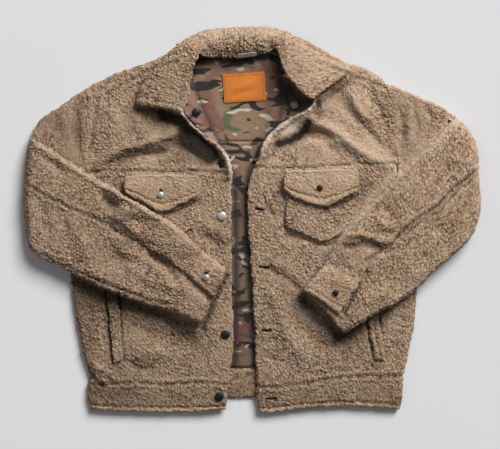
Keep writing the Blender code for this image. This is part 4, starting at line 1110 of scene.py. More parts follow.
def gathered(x, y, across, down):
    """The neck lining, gathered where it is sewn to the collar."""
    below = (NECK_SEAM_Y - y) / GATHER_DEPTH
    strength = np.exp(-np.clip(below, 0, 9) ** 2 * 1.6)
    folds = np.sin(x / GATHER_FOLD * 2 + 1.7 * np.sin(x / 31.0))
    sag = 0.5 * np.sin(x / 23.0 + y / 37.0) + 0.4 * np.sin(y / 19.0 - x / 41.0)
    pleat = 1.3 * bell(x - 34 - 0.05 * (y - 220), 6.0) * smooth((y - 150) / 60)
    return LINING_TOP + GATHER_RISE * folds * strength + 0.5 * sag + pleat


# Name, whether the outer edge is the left one, and the left and right edge.
FACINGS = (
    ("facing_neck_r", True,
     [(-119, 247), (-120, 212), (-122, 189), (-106, 161), (-87, 145), (-61, 125), (-46, 105)],
     [(-105, 247), (-97, 220), (-91, 200), (-76, 162), (-64, 144), (-49, 125), (-38, 111)]),
    ("facing_neck_l", False,
     [(50, 251), (52, 223), (53, 196), (46, 170), (26, 149), (10, 125), (0, 105)],
     [(103, 251), (105, 223), (105, 196), (71, 174), (35, 146), (18, 121), (6, 100)]),
)
FACING_RIM = (0.5, 0.5, 0.5, 0.5)
FACING_CELL = 2.0
FACING_FOOT = 10.0
FACING_TUCK = 2.5
FACING_LIFT = 0.75


def facing_height(from_left):
    """The facing falls from under the front edge to the lining."""
    def height(x, y, across, down):
        inward = across if from_left else 1 - across
        crest = np.maximum(0.8 * crease_rise("body", x, y), 0)
        rim = FRONT_TOP - FACING_TUCK + neck_rise(x, y) * FACING_LIFT + crest
        ripple = 0.5 * np.sin(y / 6.0 + x / 9.0) * np.sin(math.pi * inward)
        return rim + (FACING_FOOT - rim) * smooth(inward) + ripple
    return height


def make_lining():
    lining = dict(depth=0, slot="camouflage", coarse=1, shading_lines=LINING_PAINTED_SHADE)
    for name, cell, *edges in LININGS:
        grid = panel_grid(*edges, (0, 0, 0, 0), gathered, cell)
        shell(name, grid, CLOTH - 0.4, CAMOUFLAGE, "laid", ["back"], **lining)
    for name, from_left, left, right in FACINGS:
        grid = panel_grid([left[0], right[0]], [left[-1], right[-1]], left, right, FACING_RIM,
                          facing_height(from_left), FACING_CELL)
        shell(name, grid, CLOTH, CAMOUFLAGE_SHADED, "laid", ["lining_neck"], FACING_RIM, **lining)


# ---- pockets --------------------------------------------------------------------------------
FLAP_BASE = POCKET_LAYER + 2 * LAY_GAP
FLAP_NAP = 0.62                         # how much curl the smoother cloth of the flaps and tabs keeps
POUCH = (POCKET_LAYER, LAY_GAP, (2.4, 2.4, 2.4, 2.4))
FLAP = (FLAP_LAYER, FLAP_BASE, (2.0, 3.4, 2.8, 2.8))
WELT = (WELT_LAYER, LAY_GAP + 1.4, (2.0, 2.0, 3.2, 3.6))
# Name, its thickness, its gap over the front and its rolls, and the four edges.
POCKETS = (
    ("pouch_chest_r", POUCH, [(-214, 62), (-105, 62)], [(-215, -15), (-159, -38), (-103, -15)],
     STRAIGHT, STRAIGHT),
    ("pouch_chest_l", POUCH, [(63, 70), (173, 70)],
     [(57, -12), (92, -26), (124, -38), (153, -26), (172, -12)], STRAIGHT, STRAIGHT),
    ("flap_chest_r", FLAP, [(-224, 77), (-161, 78), (-95, 77)],
     [(-222, 49), (-192, 30), (-158, 14), (-124, 27), (-94, 42)],
     [(-224, 77), (-225, 63), (-222, 49)], [(-95, 77), (-91, 58), (-94, 42)]),
    ("flap_chest_l", FLAP, [(57, 85), (119, 87), (185, 87)],
     [(56, 55), (69, 41), (94, 31), (124, 23), (154, 34), (183, 49)],
     [(57, 85), (55, 69), (56, 55)], [(185, 87), (186, 65), (183, 49)]),
    ("welt_hand_r", WELT, [(-257, -110), (-235, -110)], [(-244, -250), (-227, -249)], STRAIGHT, STRAIGHT),
    ("welt_hand_l", WELT, [(194, -147), (218, -143)], [(215, -246), (231, -246)], STRAIGHT, STRAIGHT),
)


def flap_height(x, y, across, down):
    """A flap lies flat along its seam, dips at its row of stitches and lifts towards its point."""
    groove = -1.9 * bell(1 - down - 0.20, 0.05)
    return front_top(x, y) + FLAP_BASE + FLAP_LAYER + 1.6 * down ** 2 + groove


def make_pockets():
    for name, (thickness, base, rims), *edges in POCKETS:
        flap = name.startswith("flap")
        height = flap_height if flap else over_fronts(base + thickness)
        grid = panel_grid(*edges, rims, height, CELL * 0.9)
        shell(name, grid, thickness - 0.5, SHERPA_NAPPED if flap else SHERPA_CLOTH, "laid",
              ["front" + name[-2:]], rims, smoothness=FLAP_NAP if flap else 1.0)


# ---- sleeves --------------------------------------------------------------------------------
CUFF_SEAM_R = [(-87, -55), (-107, -91), (-136, -163)]
CUFF_SEAM_L = [(122, -84), (175, -122), (210, -169)]
# Plan edges of each stretch of sleeve, from the rim of the folded elbow: top, bottom, left and
# right. The top is the edge that lies higher on the body, and the seam shares are measured from it.
ARMS = (
    dict(name="r", side=-1,
         upper=([(-294, 230), (-317, 214), (-341, 197), (-361, 185), (-373, 174), (-383, 159), (-390, 142)],
                [(-313, -29), (-336, -42), (-362, -45), (-387, -38)],
                [(-293, 230), (-291, 184), (-297, 156), (-302, 133), (-299, 107), (-296, 83), (-303, 25),
                 (-313, -29)],
                [(-390, 142), (-394, 95), (-396, 25), (-387, -38)]),
         fore=([(-389, 143), (-367, 132), (-296, 86), (-217, 39), (-135, -10), (-110, -33), (-87, -55)],
               [(-382, -59), (-367, -68), (-337, -82), (-292, -105), (-244, -129), (-182, -149),
                (-136, -163)],
               [(-389, 143), (-395, 118), (-399, 72), (-401, 34), (-398, -5), (-394, -42), (-382, -59)],
               CUFF_SEAM_R),
         cuff=([(-87, -55), (-66, -71), (-45, -87)], [(-136, -163), (-114, -173), (-90, -184)],
               CUFF_SEAM_R, [(-45, -87), (-66, -134), (-90, -184)]),
         seam_share=(0.385, 0.395, 0.34, 0.365, 0.39, 0.41), tab_share=(0.41, 0.51), strip=13.0,
         placket=0.66, drop=6.0),
    dict(name="l", side=1,
         upper=([(231, 244), (268, 227), (303, 212), (331, 199), (355, 181)],
                [(289, -40), (320, -43), (362, -40), (383, -26)],
                [(229, 243), (247, 203), (254, 175), (251, 149), (253, 121), (257, 86), (265, 39),
                 (287, -40)],
                [(355, 181), (368, 165), (385, 142), (392, 107), (394, 72), (396, 28), (392, -1),
                 (383, -26)]),
         fore=([(354, 177), (329, 152), (301, 124), (257, 83), (220, 41), (164, -12), (142, -47), (122, -84)],
               [(388, -25), (367, -48), (342, -71), (320, -89), (290, -120), (261, -141), (210, -169)],
               [(354, 177), (371, 167), (388, 142), (396, 112), (397, 72), (401, 28), (397, 4), (388, -25)],
               CUFF_SEAM_L),
         cuff=([(122, -84), (103, -106), (89, -125)], [(210, -169), (186, -184), (160, -202)],
               CUFF_SEAM_L, [(89, -125), (128, -161), (160, -202)]),
         seam_share=(0.42, 0.47, 0.49, 0.46, 0.44, 0.55), tab_share=(0.52, 0.68), strip=0.0,
         placket=0.80, drop=5.0),
)
ARM_SHEET = 6.5                         # how thick the cloth of the sleeves and the collar is
ARM_RADIUS = ARM_HEIGHT / 2             # of the fold along each edge of a flattened sleeve
SEAM_REACH = 1.1                        # the left forearm's lower seam, in arm heights from its edge
FOLD_MIDDLE = 19.6                      # height of the fold between the upper arm and the forearm
FOLD_ROLL = 17.0                        # width over which both come together at the elbow
HIDDEN_CELL = 5.0


def roll_steps(length, cell, at_start):
    """Shares of a length, closer together where it rolls round the elbow."""
    turns = np.linspace(math.radians(7), math.pi / 2, 14)
    near = FOLD_ROLL * (1 - np.cos(turns))
    rest = np.linspace(FOLD_ROLL, length, max(2, int((length - FOLD_ROLL) / cell)) + 1)[1:]
    places = np.concatenate((near, rest)) / length
    return places if at_start else (1 - places)[::-1]


def fold_share(away):
    """How far the cloth stands off the middle of the fold at a distance from its rim."""
    return np.sqrt(np.clip(1 - (1 - np.clip(away / FOLD_ROLL, 0, 1)) ** 2, 0, 1))


def flat_run(start, end, up, cell):
    """Section columns along a level stretch, between places given for each row."""
    start, end = np.broadcast_arrays(np.asarray(start, float), np.asarray(end, float))
    count = max(2, int(np.abs(end - start).max() / cell))
    share = np.linspace(0, 1, count + 1)
    return start[:, None] + (end - start)[:, None] * share, np.full((len(start), count + 1), float(up))


def half_turn(width, at_start, first=90.0, last=270.0):
    """Section columns round one edge of a flattened tube, in degrees from its top."""
    count = max(3, int(math.radians(last - first) * ARM_RADIUS / CELL))
    turn = np.radians(np.linspace(first, last, count + 1))
    across, up = ARM_RADIUS + ARM_RADIUS * np.cos(turn), ARM_RADIUS + ARM_RADIUS * np.sin(turn)
    if at_start:
        return np.broadcast_to(across, (len(width), count + 1)), np.broadcast_to(up, (len(width), count + 1))
    return width[:, None] - across[None, ::-1], np.broadcast_to(up[::-1], (len(width), count + 1))


def joined(*runs):
    """Section columns one after the other, each shared place once."""
    across = [runs[0][0]] + [run[0][:, 1:] for run in runs[1:]]
    up = [runs[0][1]] + [run[1][:, 1:] for run in runs[1:]]
    return np.concatenate(across, axis=1), np.concatenate(up, axis=1)


def sleeve_grid(plan, along, width, section, base, crown, where, shape):
    """The surface of a stretch of sleeve from its section columns."""
    across, up = section
    share = across / width[:, None]
    places = plan(np.broadcast_to(along[:, None], share.shape), share)
    x, y = places[..., 0], places[..., 1]
    upper = np.clip(2 * up / ARM_HEIGHT - 1, 0, 1)
    z = base(x, y) + up + upper * (crown * np.sin(math.pi * np.clip(share, 0, 1)) + crease_rise(where, x, y))
    return np.stack((x, y, shape(z, along[:, None], across, x, y)), axis=-1)


def on_surface(x, y):
    return np.zeros(np.shape(x))


def widths(plan, along):
    return np.hypot(*np.moveaxis(plan(along, 1.0) - plan(along, 0.0), -1, 0))


def still_corners(*corners):
    """Keeps the cloth thin and its pile low at the sharp corners of a sleeve's folded end."""

    def share(points):
        near = [distance_to([corner], points[..., 0], points[..., 1]) for corner in corners]
        return smooth((np.minimum.reduce(near) - 8.0) / 14.0)

    return share


def sided(arm, grid, rims):
    """Both sleeves' grids face up: one side's runs the other way."""
    first, second, *sides = rims
    return (grid[::-1], (second, first, *sides)) if arm["side"] > 0 else (grid, rims)


def upper_arm(arm):
    plan = patch(*arm["upper"])
    length = length_between(plan(0.0, 0.3), plan(1.0, 0.3))
    along = roll_steps(length, CELL, at_start=False)
    along = along[along * length >= 0.5]
    width = widths(plan, along)
    inner = width - ARM_RADIUS
    section = joined(flat_run(inner, ARM_RADIUS, ARM_HEIGHT, CELL), half_turn(width, True),
                     flat_run(ARM_RADIUS, inner, 0, HIDDEN_CELL), half_turn(width, False))
    section = tuple(part[:, :-1] for part in section)

    def shape(z, along, across, x, y):
        share = fold_share((1 - along) * length)
        lifted = FOLD_MIDDLE + (z - FOLD_MIDDLE) * share
        top = z + (FOLD_MIDDLE - 1.0 - z) * (1 - share) * 0.5
        return np.where(z < ARM_RADIUS, lifted, top)

    grid = sleeve_grid(plan, along, width, section, on_surface, 0.0, "upper_" + arm["name"], shape)
    rims = (SEAM, 0, 0, 0)
    if arm["side"] < 0:
        grid, rims = grid[::-1], (0, SEAM, 0, 0)
    shell("sleeve_upper_" + arm["name"], grid, ARM_SHEET, SHERPA_CLOTH, "folded", rims=rims, closed=True,
          floor=0.0, steady=still_corners(plan(1.0, 0.0), plan(1.0, 1.0)))


def forearm(arm):
    plan = patch(*arm["fore"])
    length = length_between(plan(0.0, 0.5), plan(1.0, 0.5))
    along = roll_steps(length, CELL, at_start=True)
    along = along[(1 - along) * length > SEAM]
    width = widths(plan, along)
    inner_edge = width - ARM_RADIUS
    seam = width * np.interp(along, np.linspace(0, 1, len(arm["seam_share"])), arm["seam_share"])
    opened = smooth((along - arm["placket"]) / 0.10)
    opening = arm["drop"] * opened

    def elbow_roll(z, along, across, x, y):
        share = fold_share(along * length)
        return np.where(z > FOLD_MIDDLE, FOLD_MIDDLE + (z - FOLD_MIDDLE) * share, z)

    def under_layer(z, along, across, x, y):
        """Where the sleeve opens, the under piece lies lower than the edge over it."""
        near = 1 - smooth((across - seam[:, None]) / 26.0)
        return elbow_roll(z - opening[:, None] * near, along, across, x, y)

    closed = SEAM - SEAM_CLOSE
    inner_end = seam + closed - opening * 1.2
    outer = [flat_run(seam - (closed + 1.6 * opened), ARM_RADIUS, ARM_HEIGHT, CELL), half_turn(width, True)]
    if arm["strip"]:
        second = width - arm["strip"]
        outer += [flat_run(ARM_RADIUS, inner_edge, 0, HIDDEN_CELL), half_turn(width, False),
                  flat_run(inner_edge, second + closed, ARM_HEIGHT, CELL)]
        inner = [flat_run(second - closed, inner_end, ARM_HEIGHT, CELL)]
    else:
        second = width - SEAM_REACH * ARM_HEIGHT
        outer += [flat_run(ARM_RADIUS, second - SEAM, 0, HIDDEN_CELL)]
        inner = [flat_run(second + SEAM, inner_edge, 0, HIDDEN_CELL), half_turn(width, False),
                 flat_run(inner_edge, inner_end, ARM_HEIGHT, CELL)]
    corners = still_corners(plan(0.0, 0.0), plan(0.0, 1.0), plan(0.0, arm["seam_share"][0]))
    for part, runs, shape in (("outer", outer, elbow_roll), ("inner", inner, under_layer)):
        grid = sleeve_grid(plan, along, width, joined(*runs), forearm_base, FOREARM_CROWN,
                           "fore_" + arm["name"], shape)
        grid, rims = sided(arm, grid, (0, SEAM, SEAM, SEAM))
        shell("sleeve_%s_%s" % (part, arm["name"]), grid, ARM_SHEET, SHERPA_CLOTH, "folded",
              ["front_" + arm["name"]], rims, steady=corners)


CUFF_OVERLAP = 12.0                     # how far the cuff runs on under its buttoned end
CUFF_SINK = 5.5
TAB_LIFT = 2.2
TAB_NAP = 0.75


def cuff(arm):
    plan = patch(*arm["cuff"])
    length = length_between(plan(0.0, 0.5), plan(1.0, 0.5))
    along = spaced(length, SEAM, FREE)
    width = widths(plan, along)
    slit = width * np.interp(along, (0, 1), arm["tab_share"])
    buttoned = arm["side"] < 0

    def sunk(z, along, across, x, y):
        near = 1 - smooth((across - slit[:, None] - 2.0) / 22.0)
        return np.where(z > forearm_base(x, y) + ARM_RADIUS, z - CUFF_SINK * near, z)

    def lifted(z, along, across, x, y):
        grooves = -0.8 * bell(slit[:, None] - across - 9.0, 2.2) - 0.7 * bell(along * length - 5.0, 1.8)
        return z + TAB_LIFT * smooth((across - ARM_RADIUS) / 12.0) + grooves * (across > ARM_RADIUS)

    def make(name, section, shape, sides, material, smoothness):
        grid = sleeve_grid(plan, along, width, section, forearm_base, FOREARM_CROWN, "cuff", shape)
        grid, rims = sided(arm, grid, (SEAM, FREE, *sides))
        shell(name + arm["name"], grid, ARM_SHEET, material, "folded", ["sleeve_outer_" + arm["name"]], rims,
              smoothness=smoothness)

    reach = slit - CUFF_OVERLAP if buttoned else np.full(len(along), ARM_RADIUS)
    around = joined(half_turn(width, True, 200.0 if buttoned else 90.0),
                    flat_run(ARM_RADIUS, width - ARM_RADIUS, 0, HIDDEN_CELL), half_turn(width, False),
                    flat_run(width - ARM_RADIUS, reach, ARM_HEIGHT, CELL))
    make("cuff_", around, sunk, (0, 0), SHERPA_CLOTH, 1.0)
    if buttoned:
        tab = joined(flat_run(slit - FREE, ARM_RADIUS, ARM_HEIGHT, CELL * 0.9),
                     half_turn(width, True, 90.0, 200.0))
        make("cuff_tab_", tab, lifted, (FREE, 0), SHERPA_NAPPED, TAB_NAP)


TAB_L = ([(88, -122), (104, -103), (123, -82)], [(152, -166), (173, -132), (195, -98)],
         [(88, -122), (121, -143), (152, -166)], [(123, -82), (159, -89), (195, -98)])
TAB_L_RIMS = (6.5, FREE, FREE, SEAM)


def tab_l_height(x, y, across, down):
    creases = -1.1 * bell(down - 0.80, 0.035) - 0.9 * bell(across - 0.13, 0.04)
    soft = 1.4 * bell(across - 0.55 - 0.15 * down, 0.13) * smooth(down / 0.4)
    into_sleeve = -3.0 * smooth((across - 0.80) / 0.20)
    return forearm_base(x, y) + ARM_HEIGHT + 1.2 + TAB_LIFT + creases + soft + into_sleeve


def make_tab_l():
    """The wearer's left cuff tab lies short of the cuff's end, over the layer below it."""
    grid = panel_grid(*TAB_L, TAB_L_RIMS, tab_l_height, CELL * 0.9)
    shell("cuff_tab_l", grid, 5.0, SHERPA_NAPPED, "folded", ["cuff_l_cloth"], TAB_L_RIMS, smoothness=TAB_NAP)


# The folded elbows under the forearms: which way is inward, and the rim with the height of the
# fold at each of its points.
ELBOWS = (
    ("sleeve_elbow_r", (1, 0.1), [
        (-371, 174, 14), (-383, 158, 18), (-389, 142, 30), (-395, 118, 34), (-399, 72, 35), (-400, 34, 35),
        (-398, -5, 35), (-394, -42, 34), (-381, -60, 30)]),
    ("sleeve_elbow_l", (-1, 0.1), [
        (352, 182, 14), (360, 174, 20), (371, 166, 30), (388, 142, 34), (396, 111, 35), (398, 72, 35),
        (400, 30, 35), (398, 4, 34), (388, -24, 30), (378, -36, 26)]),
)
ELBOW_DEPTH = 22.0
ELBOW_INSET = 1.6
ELBOW_LENGTH = 230                      # along the rim
ELBOW_ROUND = 56                        # round the fold


def make_elbows():
    for name, inward, points in ELBOWS:
        rim = edge(points)
        places = rim(np.linspace(0, 1, int(ELBOW_LENGTH / CELL)))
        if inward[0] > 0:
            places = places[::-1]
        turns = np.linspace(math.radians(75), -math.pi / 2, int(ELBOW_ROUND / CELL))
        half = (places[:, 2] / 2)[:, None]
        reach = (ELBOW_DEPTH - ELBOW_INSET) * np.cos(turns)[None, :]
        foot = places[:, None, :2] + np.array(inward) * ELBOW_DEPTH
        spots = foot - np.array(inward) * reach[..., None]
        grid = np.concatenate((spots, (half + half * np.sin(turns))[..., None]), axis=-1)
        shell(name, grid, 5.0, SHERPA_CLOTH, "folded", floor=0.0, steady=still_corners(rim(0.0), rim(1.0)))


# ---- collar ---------------------------------------------------------------------------------
# From the wearer's right collar point round the back of the neck to the left one: x and y of the
# edge at the neck and of the free edge, the heights of both, and how much fuller it is between.
COLLAR = (
    (-122, 188, -201, 203, 48, 33, 1), (-113, 207, -195, 224, 48, 33, 2), (-108, 233, -184, 247, 47, 33, 3),
    (-104, 259, -168, 267, 45, 33, 3), (-96, 279, -149, 289, 42, 33, 4), (-90, 289, -126, 309, 38, 32, 6),
    (-81, 284, -103, 323, 32, 26, 9), (-65, 282, -79, 333, 26, 19, 12), (-37, 281, -47, 337, 23, 16, 14),
    (-12, 283, -14, 339, 22, 15, 15), (10, 286, 18, 339, 23, 16, 14), (28, 290, 46, 335, 27, 19, 12),
    (40, 298, 70, 324, 34, 27, 8), (45, 289, 98, 310, 40, 33, 5), (49, 272, 124, 295, 44, 33, 4),
    (58, 252, 145, 283, 46, 33, 3), (79, 230, 161, 274, 48, 33, 2), (101, 209, 170, 260, 48, 33, 1),
)
COLLAR_AROUND = 620                     # length of the free edge
COLLAR_LENGTH = 470                     # length of the middle line
COLLAR_WIDTH = 62
COLLAR_LAYER = 6.0
COLLAR_ROLL = 5.2
STAND_FOOT = 9.6
STAND_HEIGHT = 26
COLLAR_CREASES = (
    ([(-88, 282), (-79, 298), (-84, 314)], 7, -4.5),
    ([(37, 291), (30, 305), (38, 321)], 7, -4.5),
    ([(-191, 212), (-161, 205), (-126, 197)], 2.4, -1.3),
    ([(98, 219), (130, 242), (163, 266)], 2.4, -1.5),
    ([(-191, 216), (-178, 245), (-161, 266)], 2.4, -1.1),
    ([(84, 307), (121, 289), (159, 268)], 2.4, -1.1),
    ([(-66, 321), (-21, 324), (28, 321)], 9, 1.4),
    ([(-108, 303), (-98, 289), (-102, 272)], 6, 1.8),
    ([(66, 310), (60, 289), (66, 265)], 6, 1.8),
    ([(-52, 286), (-46, 307), (-52, 324)], 5, -1.4),
    ([(-4, 287), (2, 307), (-4, 326)], 6, -1.2),
)


def collar_stations(share):
    """Neck edge, free edge, their heights and the fullness at shares of the way round."""
    table = np.array(COLLAR, float)
    middle = (table[:, :2] + table[:, 2:4]) / 2
    run = np.concatenate(([0.0], np.cumsum(np.linalg.norm(np.diff(middle, axis=0), axis=1))))
    line = edge(np.column_stack((run, np.zeros(len(run)), table)))
    return line(share)[..., 2:]


def collar_grid(inset, neck_inset, end_inset, lift, cell=CELL, stand=False):
    """The collar's surface, its borders set in by what their rolls take, and the stand below it."""
    margin = end_inset / COLLAR_LENGTH
    around = margin + np.linspace(0, 1, int(COLLAR_AROUND / cell)) * (1 - 2 * margin)
    rows = collar_stations(around)
    neck, free = rows[:, :2], rows[:, 2:4]
    span = np.linalg.norm(free - neck, axis=1)
    share = np.linspace(0, 1, int(COLLAR_WIDTH / cell) + 1)[None, :]
    share = (neck_inset / span)[:, None] + share * (1 - (inset + neck_inset) / span)[:, None]
    places = neck[:, None] + (free - neck)[:, None] * share[..., None]
    z = rows[:, 4:5] + (rows[:, 5:6] - rows[:, 4:5]) * share + rows[:, 6:7] * np.sin(math.pi * share)
    for path, width, height in COLLAR_CREASES:
        away, part = along_line(path, places[..., 0], places[..., 1])
        fade = np.sin(math.pi * np.clip(part, 0.04, 0.96)) ** 0.5
        z = z + height * fade * bell(away, width)
    grid = np.concatenate((places, (z + lift)[..., None]), axis=-1)
    if stand:
        drop = np.linspace(1, 0, max(3, int(STAND_HEIGHT / cell)), endpoint=False)[None, :, None]
        foot = grid[:, :1].copy()
        foot[..., 2] = STAND_FOOT
        grid = np.concatenate((grid[:, :1] + (foot - grid[:, :1]) * drop, grid), axis=1)
    return grid


def make_collar():
    grid = collar_grid(COLLAR_ROLL - 3.4, SEAM, COLLAR_ROLL - 2.0, -0.8)
    shell("collar_upper", grid, 6.0, SHERPA_CLOTH, "folded", ["collar_under"],
          (COLLAR_ROLL, COLLAR_ROLL, SEAM, COLLAR_ROLL))
    inset = COLLAR_ROLL + 2.0
    grid = collar_grid(inset, SEAM + 1.6, inset, -COLLAR_LAYER - 1.2, CELL * 1.8, stand=True)
    shell("collar_under", grid, 4.0, SHERPA_CLOTH, "folded", ["yoke_front_r", "yoke_front_l"],
          (3.0, 3.0, 0, 3.0), depth=1.2)


# ---- label, hanger loop and stitches -----------------------------------------------------------
LABEL_CENTRE = (-14, 232)
LABEL_SIZE = (74.0, 50.0)
LABEL_TILT = math.radians(3.5)
TAPE_RIM = (0.4, 0.4, 0.4, 0.4)
STITCH_STEP = 3.0
STITCH_RADIUS = 0.42
STITCH_INSET = (3.4, 3.2)
STITCH_ENDS = (0.14, 0.86)              # shares of a step where its thread starts and ends
# The bar of one stitch: share of its length, size and lift of each ring.
STITCH_RINGS = ((0.0, 0.55, -0.35), (0.2, 1.0, 0.1), (0.5, 1.1, 0.25), (0.8, 1.0, 0.1), (1.0, 0.55, -0.35))
STITCH_SIDES = 6


def on_label(along, up):
    """A place along and up from the label's centre, in plan."""
    cosine, sine = math.cos(LABEL_TILT), math.sin(LABEL_TILT)
    return LABEL_CENTRE[0] + along * cosine - up * sine, LABEL_CENTRE[1] + along * sine + up * cosine


def label_height(along, up):
    """The label bulges a little and has a soft crease across its corner."""
    bulge = 0.9 * (1 - (along / 40.0) ** 2) * (1 - (up / 28.0) ** 2)
    ridge = 1.2 * bell(up - 3.0 - along * 0.3, 5.5)
    trough = 0.8 * bell(up + 9.0 - along * 0.22, 4.0)
    crease = (ridge * smooth((along + 32) / 30) * smooth((32 - along) / 30)
              - trough * smooth((along + 30) / 26) * smooth((34 - along) / 26))
    return 10.0 + bulge + crease


def make_label():
    half_x, half_y = LABEL_SIZE[0] / 2 - TAPE_RIM[0], LABEL_SIZE[1] / 2 - TAPE_RIM[0]
    along, up = np.meshgrid(np.linspace(-half_x, half_x, 75), np.linspace(half_y, -half_y, 51))
    grid = np.stack((*on_label(along, up), label_height(along, up)), axis=-1)
    made = shell("label", grid, 0.8, LABEL_CLOTH, rims=TAPE_RIM, depth=0, slot="label_orange", coarse=2)
    half_x, half_y = LABEL_SIZE[0] / 2 - STITCH_INSET[0], LABEL_SIZE[1] / 2 - STITCH_INSET[1]
    corners = [(-half_x, half_y), (half_x, half_y), (half_x, -half_y), (-half_x, -half_y), (-half_x, half_y)]
    stitches = []
    for first, second in zip(corners, corners[1:]):
        count = int(length_between(first, second) / STITCH_STEP)
        for number in range(count):
            ends = [np.array(first) + np.subtract(second, first) * (number + part) / count
                    for part in STITCH_ENDS]
            stitches.append([(*on_label(*end), float(label_height(*end)) + 0.25) for end in ends])
    declare(made, ["lining_neck"], [stitch_mesh("label_stitches", stitches)])


def stitch_mesh(name, stitches):
    """Many short threads, each a bar with six sides that dips at both ends."""
    points, faces = [], []
    for start, end in np.array(stitches, float):
        line = unit(end - start)
        side = unit(np.cross(line, (0.0, 0.0, 1.0)))
        top = np.cross(side, line)
        base = len(points)
        for share, size, sink in STITCH_RINGS:
            centre = start + (end - start) * share + top * sink * STITCH_RADIUS * 2
            for turn in np.linspace(0, 2 * math.pi, STITCH_SIDES + 1)[:-1]:
                points.append(centre + STITCH_RADIUS * size * (math.cos(turn) * side + math.sin(turn) * top))
        for ring in range(base, base + 4 * STITCH_SIDES, STITCH_SIDES):
            for corner in range(STITCH_SIDES):
                a, b = ring + corner, ring + (corner + 1) % STITCH_SIDES
                faces += [(a, a + STITCH_SIDES, b + STITCH_SIDES), (a, b + STITCH_SIDES, b)]
        last = base + 4 * STITCH_SIDES
        for corner in range(1, STITCH_SIDES - 1):
            faces += [(base, base + corner, base + corner + 1), (last, last + corner + 1, last + corner)]
    return add_piece(name, points, faces, LABEL_THREAD)


HANGER_ENDS = np.array(((-26, 282), (6, 286)))
HANGER_UP = np.array((0.4, 5.4))


def make_hanger():
    """A tape on the collar's neck seam, turned under at both ends."""
    along, up = np.meshgrid(np.linspace(0, 1, 40), np.linspace(1, 0, 9))
    start, end = HANGER_ENDS
    places = start + (end - start) * along[..., None] + HANGER_UP * (up[..., None] + 0.05)
    lift = 21.6 + 9.0 * up + 1.2 * np.sin(math.pi * along) + 0.5 * np.sin(along * 11.0)
    grid = np.concatenate((places, lift[..., None]), axis=-1)
    shell("hanger_loop", grid, 0.9, TAPE, "laid", ["collar_upper"], TAPE_RIM, depth=0, slot="tape_cream",
          coarse=2)


# ---- snaps and buttons ------------------------------------------------------------------------
# A cap's outline from its foot to its top: share of the radius and of the height.
CAP_PROFILE = ((0.80, -0.35), (0.97, 0.02), (1.00, 0.22), (0.985, 0.42), (0.93, 0.62), (0.84, 0.74),
               (0.78, 0.72), (0.74, 0.76), (0.60, 0.90), (0.42, 0.98), (0.22, 1.02), (0.0, 1.04))
CAP_SIDES = 48
CAP_HEIGHT = 3.0


def cap(name, centre, radius, foot, normal, material):
    """A domed metal cap with a rim, turned from its profile."""
    normal = unit(np.array(normal, float))
    first = unit(np.cross((0.0, 1.0, 0.0), normal))
    second = np.cross(normal, first)
    base = np.array((*centre, foot))
    points = [base + normal * (CAP_PROFILE[0][1] * CAP_HEIGHT)]
    for reach, rise in CAP_PROFILE[:-1]:
        for turn in np.linspace(0, 2 * math.pi, CAP_SIDES + 1)[:-1]:
            points.append(base + normal * rise * CAP_HEIGHT
                          + radius * reach * (math.cos(turn) * first + math.sin(turn) * second))
    points.append(base + normal * (CAP_PROFILE[-1][1] * CAP_HEIGHT))
    rings, last = len(CAP_PROFILE) - 1, len(points) - 1
    top = last - CAP_SIDES
    faces = []
    for side in range(CAP_SIDES):
        beside = (side + 1) % CAP_SIDES
        faces.append((0, 1 + beside, 1 + side))
        for ring in range(rings - 1):
            a, b = 1 + ring * CAP_SIDES + side, 1 + ring * CAP_SIDES + beside
            faces += [(a, b, b + CAP_SIDES), (a, b + CAP_SIDES, a + CAP_SIDES)]
        faces.append((top + side, top + beside, last))
    add_piece(name + "_cap", points, faces, material, name)


def surface_slope(height, x, y, radius):
    """The normal of a height rule at a place."""
    rise_x = float(height(x + radius, y) - height(x - radius, y)) / (2 * radius)
    rise_y = float(height(x, y + radius) - height(x, y - radius)) / (2 * radius)
    return -rise_x, -rise_y, 1.0


def body_top(x, y):
    x, y = np.atleast_1d(np.asarray(x, float)), np.atleast_1d(np.asarray(y, float))
    return (front_top(x, y) + crease_rise("body", x, y))[0]


def flap_top(x, y):
    return front_top(x, y) + FLAP_BASE + FLAP_LAYER + 0.8


def tab_top(x, y):
    return forearm_base(x, y) + ARM_HEIGHT + FOREARM_CROWN + TAB_LIFT


def facing_top(x, y):
    """Half way down the neck facings."""
    return (FRONT_TOP - FACING_TUCK + neck_rise(x, y) * FACING_LIFT + FACING_FOOT) / 2 + 2.6


# Radius, what they sit on and how far they stand off it, then the name, place and metal of each.
FASTENINGS = (
    (BUTTON_RADIUS, body_top, 0.6, (
        ("button_front_1", (-54, 98), BLACK_METAL), ("button_front_2", (-53, 6), NICKEL),
        ("button_front_3", (-57, -94), NICKEL), ("button_front_4", (-47, -202), BLACK_METAL),
        ("button_front_5", (-58, -311), BLACK_METAL))),
    (SMALL_SNAP_RADIUS, flap_top, 0.2, (
        ("snap_flap_r", (-160, 43), NICKEL), ("snap_flap_l", (118, 55), BLACK_METAL))),
    (SMALL_SNAP_RADIUS, tab_top, 0.2, (
        ("snap_cuff_r", (-80, -101), NICKEL), ("snap_cuff_l", (145, -128), BLACK_METAL))),
    (NECK_SNAP_RADIUS, facing_top, 0.4, (
        # the left neck snap is nickel with painted shade
        ("snap_neck_r", (-98, 188), BLACK_METAL), ("snap_neck_l", (74, 201), NICKEL_SHADED))),
)


def make_fastenings():
    for radius, surface, lift, rows in FASTENINGS:
        for name, centre, material in rows:
            foot = float(surface(*centre)) + lift
            cap(name, centre, radius, foot, surface_slope(surface, *centre, radius), material)


